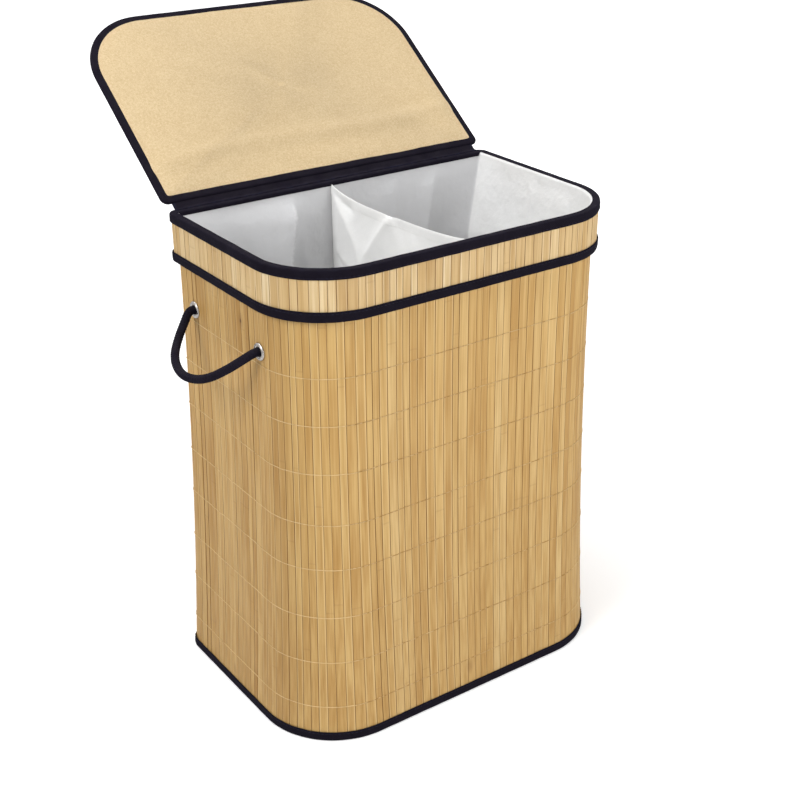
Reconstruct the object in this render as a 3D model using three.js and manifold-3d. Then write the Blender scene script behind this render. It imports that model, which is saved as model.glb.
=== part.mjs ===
// Laundry hamper with two bins: a bamboo slat body with a cloth liner, a lift-off
// slat collar that carries the hinged lid, and a rope handle on each side.
// Millimetres. +X runs along the long front, +Y to the back, +Z up.
// The origin is the centre of the underside.

import * as THREE from 'three';
import { mergeVertices } from 'three/addons/utils/BufferGeometryUtils.js';
import Module from 'manifold-3d';

const wasm = await Module();
wasm.setup();

// Overall sizes
const collarWidth = 450;
const collarDepth = 280;
const rimHeight = 582;
const collarHeight = 57;
const frontCornerRadius = 89;
const rearCornerRadius = 12;

// Body wall: how far the base spreads past the collar, and how far the middle draws in
const baseSpread = 8.5;
const waistDraw = 0.6;

// Slat mats
const slatPitch = 10.8;
const slatThickness = 1.6;
const slatGrooveDepth = 0.9;
const slatGrooveWidth = 1.5;

// Cloth and tape
const backingThickness = 0.6;
const linerThickness = 0.8;
const tapeThickness = 0.9;
const fit = 0.3;
const collarPlay = 0.4;

// Visible widths of the edge tapes, and the turned-over edges
const rimTapeDrop = 10.5;
const rimTapeInnerDrop = 3.5;
const edgeTapeWidth = 11.5;
const tapeBevel = 0.4;
const backingTurnOver = 14;
const linerTurnOver = 36;

// Base
const baseCoverThickness = 1;
const baseBoardThickness = 3;
const baseBoardPlay = 2;

// Liner bag and its divider
const linerWallPlay = 3.5;
const linerKnotPlay = 0.6;
const linerFoldDepth = 6;
const linerFoldCount = 13;
const linerFloorRounding = 7;
const dividerSlack = 7;
const dividerSag = 6;
const dividerSeamHalfWidth = 34;

// Lid
const lidLiningThickness = 0.6;
const lidBoardThickness = 1.6;
const lidRearRadius = 9;
const lidTapeWidth = 11;
const lidOpenAngle = THREE.MathUtils.degToRad(144);
const hingeRollRadius = 2.4;
const hingeNeckThickness = 0.8;

// Rope handles
const ropeDiameter = 10;
const eyeletSpacing = 146;
const eyeletSetback = 42;
const eyeletDrop = 107;
const eyeletFlangeRadius = 11.5;
const eyeletFlangeThickness = 1.6;
const eyeletMetal = 0.6;
const ropePlay = 0.4;
const washerThickness = 1;
const knotRadius = 10;
const knotLength = 12;
const handleSag = 62;
const handleTilt = THREE.MathUtils.degToRad(50);

// Facet counts
const frontCornerFacets = 10;
const rearCornerFacets = 5;
const roundFacets = 12;
const ropeFacets = 10;
const ropeSteps = 26;
const longWallParts = 10;
const shortWallParts = 5;
const dividerParts = 12;
const weldTolerance = 1e-4;

// Insets of each layer at the rim, from the outer face of the collar inwards
const collarSlatInset = tapeThickness + fit;
const collarBackingInset = collarSlatInset + slatThickness + fit;
const collarTapeInnerInset = collarBackingInset + backingThickness + fit;
const linerFoldInset = collarTapeInnerInset + tapeThickness + collarPlay;
const turnedEdgeInset = linerFoldInset + linerThickness + fit;
const bodySlatInset = turnedEdgeInset + backingThickness + fit;
const bodyBackingInset = bodySlatInset + slatThickness + fit;
const linerRimInset = bodyBackingInset + backingThickness + fit;
const rimTapeInnerInset = linerRimInset + linerThickness + fit;
const rimTapeWidth = rimTapeInnerInset + tapeThickness;

// Heights at the rim, each layer under the next
const linerTop = rimHeight - tapeThickness - fit;
const backingTop = linerTop - linerThickness - fit;
const bodySlatTop = backingTop - backingThickness - fit;
const collarBottom = rimHeight - collarHeight;
const wallBottom = tapeThickness + fit;
const baseBoardBottom = baseCoverThickness + fit;
const linerBottom = baseBoardBottom + baseBoardThickness + fit;

// Finishes
const bamboo = { color: 0xc8a36c, roughness: 0.55, metalness: 0 };
const navyTape = { color: 0x1b1a28, roughness: 0.8, metalness: 0 };
const navyRope = { color: 0x191824, roughness: 0.85, metalness: 0 };
const backingCloth = { color: 0xd9c7a4, roughness: 0.9, metalness: 0 };
const liningCloth = { color: 0xdcc49b, roughness: 0.95, metalness: 0 };
const linerCloth = { color: 0xebebeb, roughness: 0.9, metalness: 0 };
const boardStock = { color: 0x9a7c56, roughness: 0.85, metalness: 0 };
const chromeMetal = { color: 0xd5d7da, roughness: 0.2, metalness: 1 };

const collarFootprint = {
  halfWidth: collarWidth / 2,
  front: -collarDepth / 2,
  rear: collarDepth / 2,
  frontRadius: frontCornerRadius,
  rearRadius: rearCornerRadius,
};
const smallestRadiusShare = 0.3;

// The closed outline of a footprint, drawn in by the given insets, counter-clockwise
// seen from above. Every outline has the same number of points, so outlines nest.
function outlineOf(footprint, insetX, insetY = insetX) {
  const halfWidth = footprint.halfWidth - insetX;
  const front = footprint.front + insetY;
  const rear = footprint.rear - insetY;
  const radiusInset = (insetX + insetY) / 2;
  const radiusFor = (radius) => Math.max(radius - radiusInset, radius * smallestRadiusShare);
  const frontRadius = radiusFor(footprint.frontRadius);
  const rearRadius = radiusFor(footprint.rearRadius);
  const corners = [
    [halfWidth - frontRadius, front + frontRadius, frontRadius, frontCornerFacets],
    [halfWidth - rearRadius, rear - rearRadius, rearRadius, rearCornerFacets],
    [-halfWidth + rearRadius, rear - rearRadius, rearRadius, rearCornerFacets],
    [-halfWidth + frontRadius, front + frontRadius, frontRadius, frontCornerFacets],
  ];
  const quarter = Math.PI / 2;
  return corners.flatMap(([centreX, centreY, radius, facets], corner) =>
    Array.from({ length: facets + 1 }, (_, step) => {
      const angle = (corner - 1) * quarter + (step / facets) * quarter;
      return [centreX + radius * Math.cos(angle), centreY + radius * Math.sin(angle)];
    }));
}

// Where each outline point lies along the footprint's outline at an inset, from 0 to 1
function outlineShares(footprint, inset) {
  const points = outlineOf(footprint, inset);
  const lengths = points.map(([x, y], index) => {
    const [nextX, nextY] = points[(index + 1) % points.length];
    return Math.hypot(nextX - x, nextY - y);
  });
  const total = lengths.reduce((sum, length) => sum + length, 0);
  const shares = [0];
  for (const length of lengths) {
    shares.push(shares[shares.length - 1] + length / total);
  }
  return { shares, total };
}

// The point of an outline at a share of the way round, on its straight facets
function pointAtShare(outline, shares, share) {
  let index = 0;
  while (index < outline.length - 1 && shares[index + 1] <= share) {
    index += 1;
  }
  const along = (share - shares[index]) / (shares[index + 1] - shares[index]);
  const [x, y] = outline[index];
  const [nextX, nextY] = outline[(index + 1) % outline.length];
  return [x + (nextX - x) * along, y + (nextY - y) * along];
}

// A closed body from points and triangles, with its faces turned outwards
function closedBody(points, triangles) {
  let volume = 0;
  for (const [a, b, c] of triangles) {
    const [ax, ay, az] = points[a];
    const [bx, by, bz] = points[b];
    const [cx, cy, cz] = points[c];
    volume += ax * (by * cz - bz * cy) + ay * (bz * cx - bx * cz) + az * (bx * cy - by * cx);
  }
  const outward = volume > 0 ? triangles : triangles.map(([a, b, c]) => [a, c, b]);
  const geometry = new THREE.BufferGeometry();
  geometry.setAttribute('position', new THREE.Float32BufferAttribute(points.flat(), 3));
  geometry.setIndex(outward.flat());
  geometry.computeVertexNormals();
  return geometry;
}

// Two triangles between each pair of points of two loops of equal length, split from the
// first loop's point to the second loop's next one, or the other way round
function bandBetween(firstStart, secondStart, count, isOtherWay = false) {
  const triangles = [];
  for (let index = 0; index < count; index += 1) {
    const next = (index + 1) % count;
    const [first, firstNext] = [firstStart + index, firstStart + next];
    const [second, secondNext] = [secondStart + index, secondStart + next];
    if (isOtherWay) {
      triangles.push([first, firstNext, second], [firstNext, secondNext, second]);
    } else {
      triangles.push([first, firstNext, secondNext], [first, secondNext, second]);
    }
  }
  return triangles;
}

// A body through a chain of loops. A closed chain is a ring; an open one ends in caps.
// Bands that go down are split the other way, so both faces of a thin wall bend alike.
function loft(loops, isRing) {
  const count = loops[0].length;
  const points = loops.flat();
  const triangles = [];
  const bands = isRing ? loops.length : loops.length - 1;
  for (let band = 0; band < bands; band += 1) {
    const next = (band + 1) % loops.length;
    const [[, , hereZ]] = loops[band];
    const [[, , nextZ]] = loops[next];
    triangles.push(...bandBetween(band * count, next * count, count, nextZ < hereZ));
  }
  if (!isRing) {
    for (const end of [0, loops.length - 1]) {
      const centre = [0, 1, 2].map(
        (axis) => loops[end].reduce((sum, point) => sum + point[axis], 0) / count);
      points.push(centre);
      for (let index = 0; index < count; index += 1) {
        const here = end * count + index;
        const next = end * count + ((index + 1) % count);
        const fan = [points.length - 1, next, here];
        triangles.push(end === 0 ? fan : [fan[0], fan[2], fan[1]]);
      }
    }
  }
  return closedBody(points, triangles);
}

// A ring that sweeps a closed profile of inset and height points round a footprint
function ringOf(footprint, profile) {
  const loops = profile.map(([inset, z]) => outlineOf(footprint, inset).map(([x, y]) => [x, y, z]));
  return loft(loops, true);
}

// A flat plate with the footprint's outline
function plateOf(footprint, inset, bottom, top) {
  const outline = outlineOf(footprint, inset);
  return loft([bottom, top].map((z) => outline.map(([x, y]) => [x, y, z])), false);
}

// A mat of upright slats round a footprint. Each slat is flat between two grooves, and
// the inner side is smooth. Levels hold the height and the inset of the outer face, and
// the slats are full width at the level with the widest outline.
function slatMat(footprint, levels) {
  const widestInset = Math.min(...levels.map(([, inset]) => inset));
  const { shares, total } = outlineShares(footprint, widestInset);
  const slatCount = Math.round(total / slatPitch);
  const grooveShare = slatGrooveWidth / 2 / total;
  const points = [];
  const outerLoops = [];
  const innerLoops = [];
  for (const [z, inset] of levels) {
    const face = outlineOf(footprint, inset);
    const grooveFloor = outlineOf(footprint, inset + slatGrooveDepth);
    const outer = [];
    for (let slat = 0; slat < slatCount; slat += 1) {
      const start = slat / slatCount;
      const end = (slat + 1) / slatCount;
      outer.push(pointAtShare(grooveFloor, shares, start));
      outer.push(pointAtShare(face, shares, start + grooveShare));
      outer.push(pointAtShare(face, shares, end - grooveShare));
    }
    const inner = outlineOf(footprint, inset + slatThickness);
    outerLoops.push({ start: points.length, loop: outer });
    points.push(...outer.map(([x, y]) => [x, y, z]));
    innerLoops.push({ start: points.length, loop: inner });
    points.push(...inner.map(([x, y]) => [x, y, z]));
  }
  const triangles = [];
  for (let level = 1; level < levels.length; level += 1) {
    const below = outerLoops[level - 1];
    const innerBelow = innerLoops[level - 1];
    triangles.push(...bandBetween(below.start, outerLoops[level].start, below.loop.length));
    triangles.push(...bandBetween(innerLoops[level].start, innerBelow.start, innerBelow.loop.length));
  }
  for (const level of [0, levels.length - 1]) {
    triangles.push(...cutEnd(outerLoops[level], innerLoops[level], level > 0));
  }
  return closedBody(points, triangles);
}

// The triangles that close a mat between its outer and inner loops
function cutEnd(outer, inner, facesUp) {
  const asVectors = (loop) => loop.map(([x, y]) => new THREE.Vector2(x, y));
  const flat = [...outer.loop, ...inner.loop];
  const vertexOf = (index) => (index < outer.loop.length
    ? outer.start + index
    : inner.start + index - outer.loop.length);
  return THREE.ShapeUtils.triangulateShape(asVectors(outer.loop), [asVectors(inner.loop)])
    .map(([a, b, c]) => {
      const turn = (flat[b][0] - flat[a][0]) * (flat[c][1] - flat[a][1])
        - (flat[b][1] - flat[a][1]) * (flat[c][0] - flat[a][0]);
      const upward = turn > 0 ? [a, b, c] : [a, c, b];
      return (facesUp ? upward : [upward[0], upward[2], upward[1]]).map(vertexOf);
    });
}

// A sheet body between two grids of points with the same rows and columns
function sheetBody(gridA, gridB) {
  const rows = gridA.length;
  const columns = gridA[0].length;
  const points = [...gridA.flat(), ...gridB.flat()];
  const at = (side, row, column) => side * rows * columns + row * columns + column;
  const triangles = [];
  const quad = (a, b, c, d) => triangles.push([a, b, c], [a, c, d]);
  for (let row = 1; row < rows; row += 1) {
    for (let column = 1; column < columns; column += 1) {
      const [low, left] = [row - 1, column - 1];
      quad(at(0, low, left), at(0, low, column), at(0, row, column), at(0, row, left));
      quad(at(1, low, left), at(1, row, left), at(1, row, column), at(1, low, column));
    }
    const last = columns - 1;
    quad(at(0, row - 1, 0), at(0, row, 0), at(1, row, 0), at(1, row - 1, 0));
    quad(at(0, row - 1, last), at(1, row - 1, last), at(1, row, last), at(0, row, last));
  }
  for (let column = 1; column < columns; column += 1) {
    const left = column - 1;
    const top = rows - 1;
    quad(at(0, 0, left), at(1, 0, left), at(1, 0, column), at(0, 0, column));
    quad(at(0, top, left), at(0, top, column), at(1, top, column), at(1, top, left));
  }
  return closedBody(points, triangles);
}

// A geometry as a solid for cutting and joining, and back
function toSolid(geometry) {
  const bare = geometry.clone();
  bare.deleteAttribute('normal');
  bare.deleteAttribute('uv');
  const welded = mergeVertices(bare, weldTolerance);
  return new wasm.Manifold(new wasm.Mesh({
    numProp: 3,
    vertProperties: Float32Array.from(welded.attributes.position.array),
    triVerts: Uint32Array.from(welded.index.array),
  }));
}

function toGeometry(solid) {
  const mesh = solid.getMesh();
  const geometry = new THREE.BufferGeometry();
  geometry.setAttribute('position', new THREE.BufferAttribute(mesh.vertProperties, 3));
  geometry.setIndex(new THREE.BufferAttribute(mesh.triVerts, 1));
  geometry.computeVertexNormals();
  return geometry;
}

// A turned body about +Y from a profile of radius and height points
function turned(profile) {
  const points = profile.map(([radius, height]) => new THREE.Vector2(radius, height));
  return toGeometry(toSolid(new THREE.LatheGeometry(points, roundFacets)));
}

function meshOf(name, geometry, finish) {
  const mesh = new THREE.Mesh(geometry, new THREE.MeshStandardMaterial({ ...finish, flatShading: true }));
  mesh.name = name;
  return mesh;
}

// Body wall
// The wall is upright behind the collar, then follows a gentle curve down to the base.
const wallLevelShares = [0, 0.3, 0.62, 1];
const wallLevels = wallLevelShares.map((share) => {
  const z = share * bodySlatTop;
  const down = Math.max(1 - z / collarBottom, 0);
  const curve = 4 * waistDraw * down * (1 - down) - (bodySlatInset + baseSpread) * down * down;
  return [z, bodySlatInset + curve];
});

// Inset of the body's outer face at a height, on the straight stretches between levels
function wallInset(z) {
  const above = wallLevels.findIndex(([levelZ]) => levelZ >= z);
  if (above < 0) {
    return bodySlatInset;
  }
  if (above === 0) {
    return wallLevels[0][1];
  }
  const [lowZ, lowInset] = wallLevels[above - 1];
  const [highZ, highInset] = wallLevels[above];
  return lowInset + ((highInset - lowInset) * (z - lowZ)) / (highZ - lowZ);
}

function wallHeightsBetween(bottom, top) {
  const inside = wallLevels.map(([z]) => z).filter((z) => z > bottom && z < top);
  return [bottom, ...inside, top];
}

const barrelRadius = ropeDiameter / 2 + ropePlay + eyeletMetal;
const eyeletHeight = rimHeight - eyeletDrop;
const rearEyeletPlace = collarDepth / 2 - eyeletSetback;
const eyeletPlaces = [rearEyeletPlace - eyeletSpacing, rearEyeletPlace];

// Round cutters through both side walls, one at each eyelet place
function cutEyeletHoles(geometry) {
  let solid = toSolid(geometry);
  for (const place of eyeletPlaces) {
    const cutter = new THREE.CylinderGeometry(
      barrelRadius + fit, barrelRadius + fit, collarWidth + 2 * eyeletFlangeRadius, roundFacets);
    cutter.rotateZ(Math.PI / 2);
    cutter.translate(0, place, eyeletHeight);
    solid = solid.subtract(toSolid(cutter));
  }
  return toGeometry(solid);
}

function bodySlats() {
  const levels = wallHeightsBetween(wallBottom, bodySlatTop).map((z) => [z, wallInset(z)]);
  return cutEyeletHoles(slatMat(collarFootprint, levels));
}

// The backing lines the mat and turns over its top edge
function bodyBacking() {
  const clothTop = backingTop - backingThickness;
  const outerFace = wallHeightsBetween(wallBottom, clothTop)
    .map((z) => [wallInset(z) + slatThickness + fit, z]);
  const innerFace = wallHeightsBetween(wallBottom, backingTop)
    .map((z) => [wallInset(z) + slatThickness + fit + backingThickness, z]);
  const turnedEdge = [
    [turnedEdgeInset + backingThickness, clothTop],
    [turnedEdgeInset + backingThickness, backingTop - backingTurnOver],
    [turnedEdgeInset, backingTop - backingTurnOver],
    [turnedEdgeInset, backingTop],
  ];
  return cutEyeletHoles(ringOf(collarFootprint, [...outerFace, ...turnedEdge, ...innerFace.reverse()]));
}

// The tape folds up round the foot of the wall
const footTapeInner = slatThickness + fit + backingThickness + fit;
function bodyBottomBinding() {
  const outside = -fit - tapeThickness;
  return ringOf(collarFootprint, [
    [wallInset(0) + outside + tapeBevel, 0],
    [wallInset(tapeBevel) + outside, tapeBevel],
    [wallInset(edgeTapeWidth) + outside, edgeTapeWidth],
    [wallInset(edgeTapeWidth) - fit, edgeTapeWidth],
    [wallInset(tapeThickness) - fit, tapeThickness],
    [wallInset(tapeThickness) + footTapeInner, tapeThickness],
    [wallInset(edgeTapeWidth) + footTapeInner, edgeTapeWidth],
    [wallInset(edgeTapeWidth) + footTapeInner + tapeThickness, edgeTapeWidth],
    [wallInset(0) + footTapeInner + tapeThickness, 0],
  ]);
}

const baseCoverInset = wallInset(edgeTapeWidth) + footTapeInner + tapeThickness + fit;

function baseCover() {
  return plateOf(collarFootprint, baseCoverInset, 0, baseCoverThickness);
}

function baseBoard() {
  const top = baseBoardBottom + baseBoardThickness;
  return plateOf(collarFootprint, baseCoverInset + baseBoardPlay, baseBoardBottom, top);
}

// Eyelets, washers and rope ends
// How far the side wall reaches from the middle plane, at a place along Y and a height
function sideReach(y, z, depth) {
  const outline = outlineOf(collarFootprint, wallInset(z) + depth);
  const index = outline.findIndex(([, pointY], at) => at > 0 && pointY >= y);
  const [lowX, lowY] = outline[index - 1];
  const [highX, highY] = outline[index];
  return lowX + ((highX - lowX) * (y - lowY)) / (highY - lowY);
}

// The reaches of the wall all round the flanges, at the given depth in the wall
function reachesAtEyelets(depth) {
  const offsets = [-eyeletFlangeRadius, 0, eyeletFlangeRadius];
  return eyeletPlaces.flatMap((place) => offsets.flatMap((across) => offsets.map(
    (up) => sideReach(place + across, eyeletHeight + up, depth))));
}

const eyeletSeat = Math.max(...reachesAtEyelets(0)) + fit;
const washerSeat = Math.min(...reachesAtEyelets(slatThickness + fit + backingThickness)) - fit;
const washerInside = washerSeat - washerThickness;
const swingAxis = eyeletSeat + eyeletFlangeThickness + ropePlay + ropeDiameter / 2;

// Heights in the next three profiles are distances from the hamper's middle plane
function eyelet() {
  const bore = ropeDiameter / 2 + ropePlay;
  const crown = eyeletSeat + eyeletFlangeThickness;
  const lip = eyeletFlangeThickness / 2;
  return turned([
    [bore, washerInside],
    [barrelRadius, washerInside],
    [barrelRadius, eyeletSeat],
    [eyeletFlangeRadius, eyeletSeat],
    [eyeletFlangeRadius, eyeletSeat + lip / 2],
    [eyeletFlangeRadius - lip, crown],
    [bore + lip, crown],
    [bore, eyeletSeat + lip],
    [bore, washerInside],
  ]);
}

function washer() {
  const hole = barrelRadius + fit;
  return turned([
    [hole, washerInside],
    [eyeletFlangeRadius, washerInside],
    [eyeletFlangeRadius, washerSeat],
    [hole, washerSeat],
    [hole, washerInside],
  ]);
}

// The rope's straight end in the eyelet, with the knot that holds it inside the wall
const knotOutside = washerInside - fit;
const knotInside = knotOutside - knotLength;
const knotOutlineShares = [[0.72, 0], [1, 0.3], [1, 0.62], [0.7, 0.9]];
function ropeEnd() {
  const ropeRadius = ropeDiameter / 2;
  const outerEnd = swingAxis - ropeRadius - fit;
  return turned([
    [0, knotInside],
    [ropeRadius, knotInside],
    ...knotOutlineShares.map(([radius, along]) => [knotRadius * radius, knotOutside - knotLength * along])
      .reverse(),
    [ropeRadius, knotOutside],
    [ropeRadius, outerEnd],
    [0, outerEnd],
  ]);
}

// Rope loops
// Each route point is a share of half the eyelet spacing and a share of the sag.
const loopRouteShares = [
  [1, 0], [0.97, 0.07], [0.915, 0.18], [0.86, 0.29], [0.8, 0.41], [0.73, 0.53],
  [0.63, 0.68], [0.52, 0.8], [0.39, 0.893], [0.26, 0.952], [0.13, 0.988], [0, 1],
];

function ropeLoop() {
  const half = loopRouteShares.map(([across, down]) => [(across * eyeletSpacing) / 2, -down * handleSag]);
  const route = [...half, ...half.slice(0, -1).reverse().map(([y, z]) => [-y, z])];
  const path = new THREE.CatmullRomCurve3(route.map(([y, z]) => new THREE.Vector3(0, y, z)));
  const section = new THREE.Shape();
  section.absarc(0, 0, ropeDiameter / 2, 0, 2 * Math.PI, false);
  const facets = { steps: ropeSteps, curveSegments: ropeFacets / 2, bevelEnabled: false, extrudePath: path };
  let solid = toSolid(new THREE.ExtrudeGeometry(section, facets));
  for (const place of [-eyeletSpacing / 2, eyeletSpacing / 2]) {
    const ball = new THREE.SphereGeometry(ropeDiameter / 2, ropeFacets, ropeFacets / 2);
    ball.translate(0, place, 0);
    solid = solid.add(toSolid(ball));
  }
  return toGeometry(solid);
}

// Collar
function collarSlats() {
  const levels = [collarBottom + tapeThickness + fit, rimHeight - tapeThickness - fit];
  return slatMat(collarFootprint, levels.map((z) => [z, collarSlatInset]));
}

function collarBacking() {
  const bottom = collarBottom + tapeThickness + fit;
  const top = rimHeight - tapeThickness - fit;
  return ringOf(collarFootprint, [
    [collarBackingInset, bottom],
    [collarBackingInset, top],
    [collarBackingInset + backingThickness, top],
    [collarBackingInset + backingThickness, bottom],
  ]);
}

// The rim tape spans the collar, the liner's fold and the body's rim, and sits on them
function collarTopBinding() {
  return ringOf(collarFootprint, [
    [0, rimHeight - rimTapeDrop],
    [0, rimHeight - tapeBevel],
    [tapeBevel, rimHeight],
    [rimTapeWidth, rimHeight],
    [rimTapeWidth, rimHeight - rimTapeInnerDrop],
    [rimTapeInnerInset, rimHeight - rimTapeInnerDrop],
    [rimTapeInnerInset, rimHeight - tapeThickness],
    [tapeThickness, rimHeight - tapeThickness],
    [tapeThickness, rimHeight - rimTapeDrop],
  ]);
}

function collarBottomBinding() {
  const inner = collarTapeInnerInset;
  const top = collarBottom + edgeTapeWidth;
  return ringOf(collarFootprint, [
    [tapeBevel, collarBottom],
    [0, collarBottom + tapeBevel],
    [0, top],
    [tapeThickness, top],
    [tapeThickness, collarBottom + tapeThickness],
    [inner, collarBottom + tapeThickness],
    [inner, top],
    [inner + tapeThickness, top],
    [inner + tapeThickness, collarBottom],
  ]);
}

// Lid, built closed in its own frame: the hinge line is the origin and -Y is the front
const lidCore = lidLiningThickness + fit + lidBoardThickness + fit + slatThickness;
const lidThickness = lidCore + 2 * (tapeThickness + fit);
const hingeOffset = fit + lidThickness / 2;
const lidRear = -(hingeRollRadius + fit);
const lidFootprint = {
  halfWidth: collarWidth / 2,
  front: -(collarDepth + hingeOffset),
  rear: lidRear,
  frontRadius: frontCornerRadius,
  rearRadius: lidRearRadius,
};
const lidUnderside = -lidThickness / 2;
const lidLiningBottom = lidUnderside + tapeThickness + fit;
const lidBoardBottom = lidLiningBottom + lidLiningThickness + fit;
const lidSlatBottom = lidBoardBottom + lidBoardThickness + fit;

// The edge tape's outer corners are cut back, so that the lid clears the hinge neck
const lidNeckRoom = (hingeNeckThickness / 2 + fit) * Math.SQRT2;
const lidCutBack = Math.max(lidThickness / 2 + lidRear + lidNeckRoom, tapeBevel);
const lidCoreInset = Math.max(tapeThickness + fit, lidCutBack + fit * (Math.SQRT2 - 1));

function lidLayer(bottom, thickness) {
  return plateOf(lidFootprint, lidCoreInset, bottom, bottom + thickness);
}

// The lid's slats run from front to back, with their grooves on the outer side
function lidSlats() {
  const width = collarWidth - 2 * lidCoreInset;
  const slatCount = Math.round(width / slatPitch);
  const pitch = width / slatCount;
  const top = lidSlatBottom + slatThickness;
  const section = new THREE.Shape();
  section.moveTo(-width / 2, lidSlatBottom);
  section.lineTo(width / 2, lidSlatBottom);
  section.lineTo(width / 2, top);
  for (let slat = slatCount - 1; slat > 0; slat -= 1) {
    const joint = -width / 2 + slat * pitch;
    section.lineTo(joint + slatGrooveWidth / 2, top);
    section.lineTo(joint, top - slatGrooveDepth);
    section.lineTo(joint - slatGrooveWidth / 2, top);
  }
  section.lineTo(-width / 2, top);
  const length = lidFootprint.rear - lidFootprint.front;
  const mat = new THREE.ExtrudeGeometry(section, { depth: length, bevelEnabled: false });
  mat.rotateX(Math.PI / 2);
  mat.translate(0, lidFootprint.rear, 0);
  const outline = plateOf(lidFootprint, lidCoreInset, lidSlatBottom - fit, top + fit);
  return toGeometry(toSolid(mat).intersect(toSolid(outline)));
}

function lidBinding() {
  const half = lidThickness / 2;
  const cutBack = lidCutBack;
  const clothFace = half - tapeThickness;
  return ringOf(lidFootprint, [
    [lidTapeWidth, -half],
    [cutBack, -half],
    [0, cutBack - half],
    [0, half - cutBack],
    [cutBack, half],
    [lidTapeWidth, half],
    [lidTapeWidth, clothFace],
    [cutBack, clothFace],
    [tapeThickness, clothFace + tapeThickness - cutBack],
    [tapeThickness, cutBack - tapeThickness - clothFace],
    [cutBack, -clothFace],
    [lidTapeWidth, -clothFace],
  ]);
}

// The sewn hinge: a roll on the hinge line, on a neck up from the collar's rear edge
function lidHingeTape() {
  const neckHalf = hingeNeckThickness / 2;
  const neckLength = hingeOffset * Math.SQRT2 - fit;
  const neckStart = Math.sqrt(hingeRollRadius ** 2 - neckHalf ** 2);
  const openHalf = Math.asin(neckHalf / hingeRollRadius);
  const section = new THREE.Shape();
  section.moveTo(neckLength, -neckHalf);
  section.lineTo(neckLength, neckHalf);
  section.lineTo(neckStart, neckHalf);
  section.absarc(0, 0, hingeRollRadius, openHalf, 2 * Math.PI - openHalf, false);
  section.closePath();
  const length = collarWidth - 2 * lidRearRadius;
  const tape = new THREE.ExtrudeGeometry(section, {
    depth: length,
    curveSegments: roundFacets / 2,
    bevelEnabled: false,
  });
  tape.rotateZ(-Math.PI / 4);
  tape.translate(0, 0, -length / 2);
  tape.rotateY(Math.PI / 2);
  return toGeometry(toSolid(tape));
}

// Liner
// Points round the liner: the corner facets, with the straight walls split up for folds
function linerShares() {
  const { shares } = outlineShares(collarFootprint, 0);
  const points = outlineOf(collarFootprint, 0);
  const result = [];
  for (let index = 0; index < points.length; index += 1) {
    const [x, y] = points[index];
    const [nextX, nextY] = points[(index + 1) % points.length];
    const isLong = Math.abs(nextX - x) > collarWidth / 2;
    const isShort = Math.abs(nextY - y) > collarDepth / 3;
    const parts = isLong ? longWallParts : isShort ? shortWallParts : 1;
    for (let part = 0; part < parts; part += 1) {
      result.push(shares[index] + ((shares[index + 1] - shares[index]) * part) / parts);
    }
  }
  return result;
}

// Bag wall from the rim down: height, inset at the sides, inset at front and back, and
// the share of the full fold depth. The first table pairs shares of the knots' level
// with shares of the fold depth.
const knotLevel = eyeletHeight + knotRadius;
const linerSideInset = collarWidth / 2 - knotInside + linerKnotPlay;
const linerLongInset = linerRimInset + linerWallPlay;
const foldLevelShares = [[1, 0.45], [0.72, 1], [0.36, 1]];
const floorFoldShare = 0.5;
const bagLevels = [
  [rimHeight - rimTapeInnerDrop - fit, linerRimInset, linerRimInset, 0],
  ...foldLevelShares.map(([levelShare, foldShare]) => [
    knotLevel * levelShare, linerSideInset, linerLongInset, foldShare,
  ]),
  [linerBottom + linerFloorRounding, linerSideInset, linerLongInset, floorFoldShare],
];

// A loop of the bag, drawn in by its folds and by the cloth's thickness
function bagLoop([z, insetX, insetY, foldShare], thickness) {
  const { shares } = outlineShares(collarFootprint, 0);
  return linerShares().map((share) => {
    const [x] = pointAtShare(outlineOf(collarFootprint, insetX, insetY), shares, share);
    const offSeam = THREE.MathUtils.smoothstep(Math.abs(x), dividerSeamHalfWidth / 3, dividerSeamHalfWidth);
    const wave = 0.5 - 0.5 * Math.cos(2 * Math.PI * linerFoldCount * share);
    const extra = thickness + linerFoldDepth * foldShare * wave * offSeam;
    const [pointX, pointY] = pointAtShare(
      outlineOf(collarFootprint, insetX + extra, insetY + extra), shares, share);
    return [pointX, pointY, z];
  });
}

// The bag folds over the body's rim, hangs down inside and closes with a floor
function linerBag() {
  const plain = (inset, z) => bagLoop([z, inset, inset, 0], 0);
  const floorInsets = [linerSideInset + linerFloorRounding, linerLongInset + linerFloorRounding];
  const rising = bagLevels.slice().reverse();
  const hem = linerTop - linerTurnOver;
  return loft([
    bagLoop([linerBottom, ...floorInsets, 0], 0),
    ...rising.map((level) => bagLoop(level, 0)),
    plain(linerRimInset, linerTop - linerThickness),
    plain(linerFoldInset + linerThickness, linerTop - linerThickness),
    plain(linerFoldInset + linerThickness, hem),
    plain(linerFoldInset, hem),
    plain(linerFoldInset, linerTop),
    plain(linerRimInset + linerThickness, linerTop),
    ...bagLevels.map((level) => bagLoop(level, linerThickness)),
    bagLoop([linerBottom + linerThickness, ...floorInsets, 0], 0),
  ], false);
}

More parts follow.
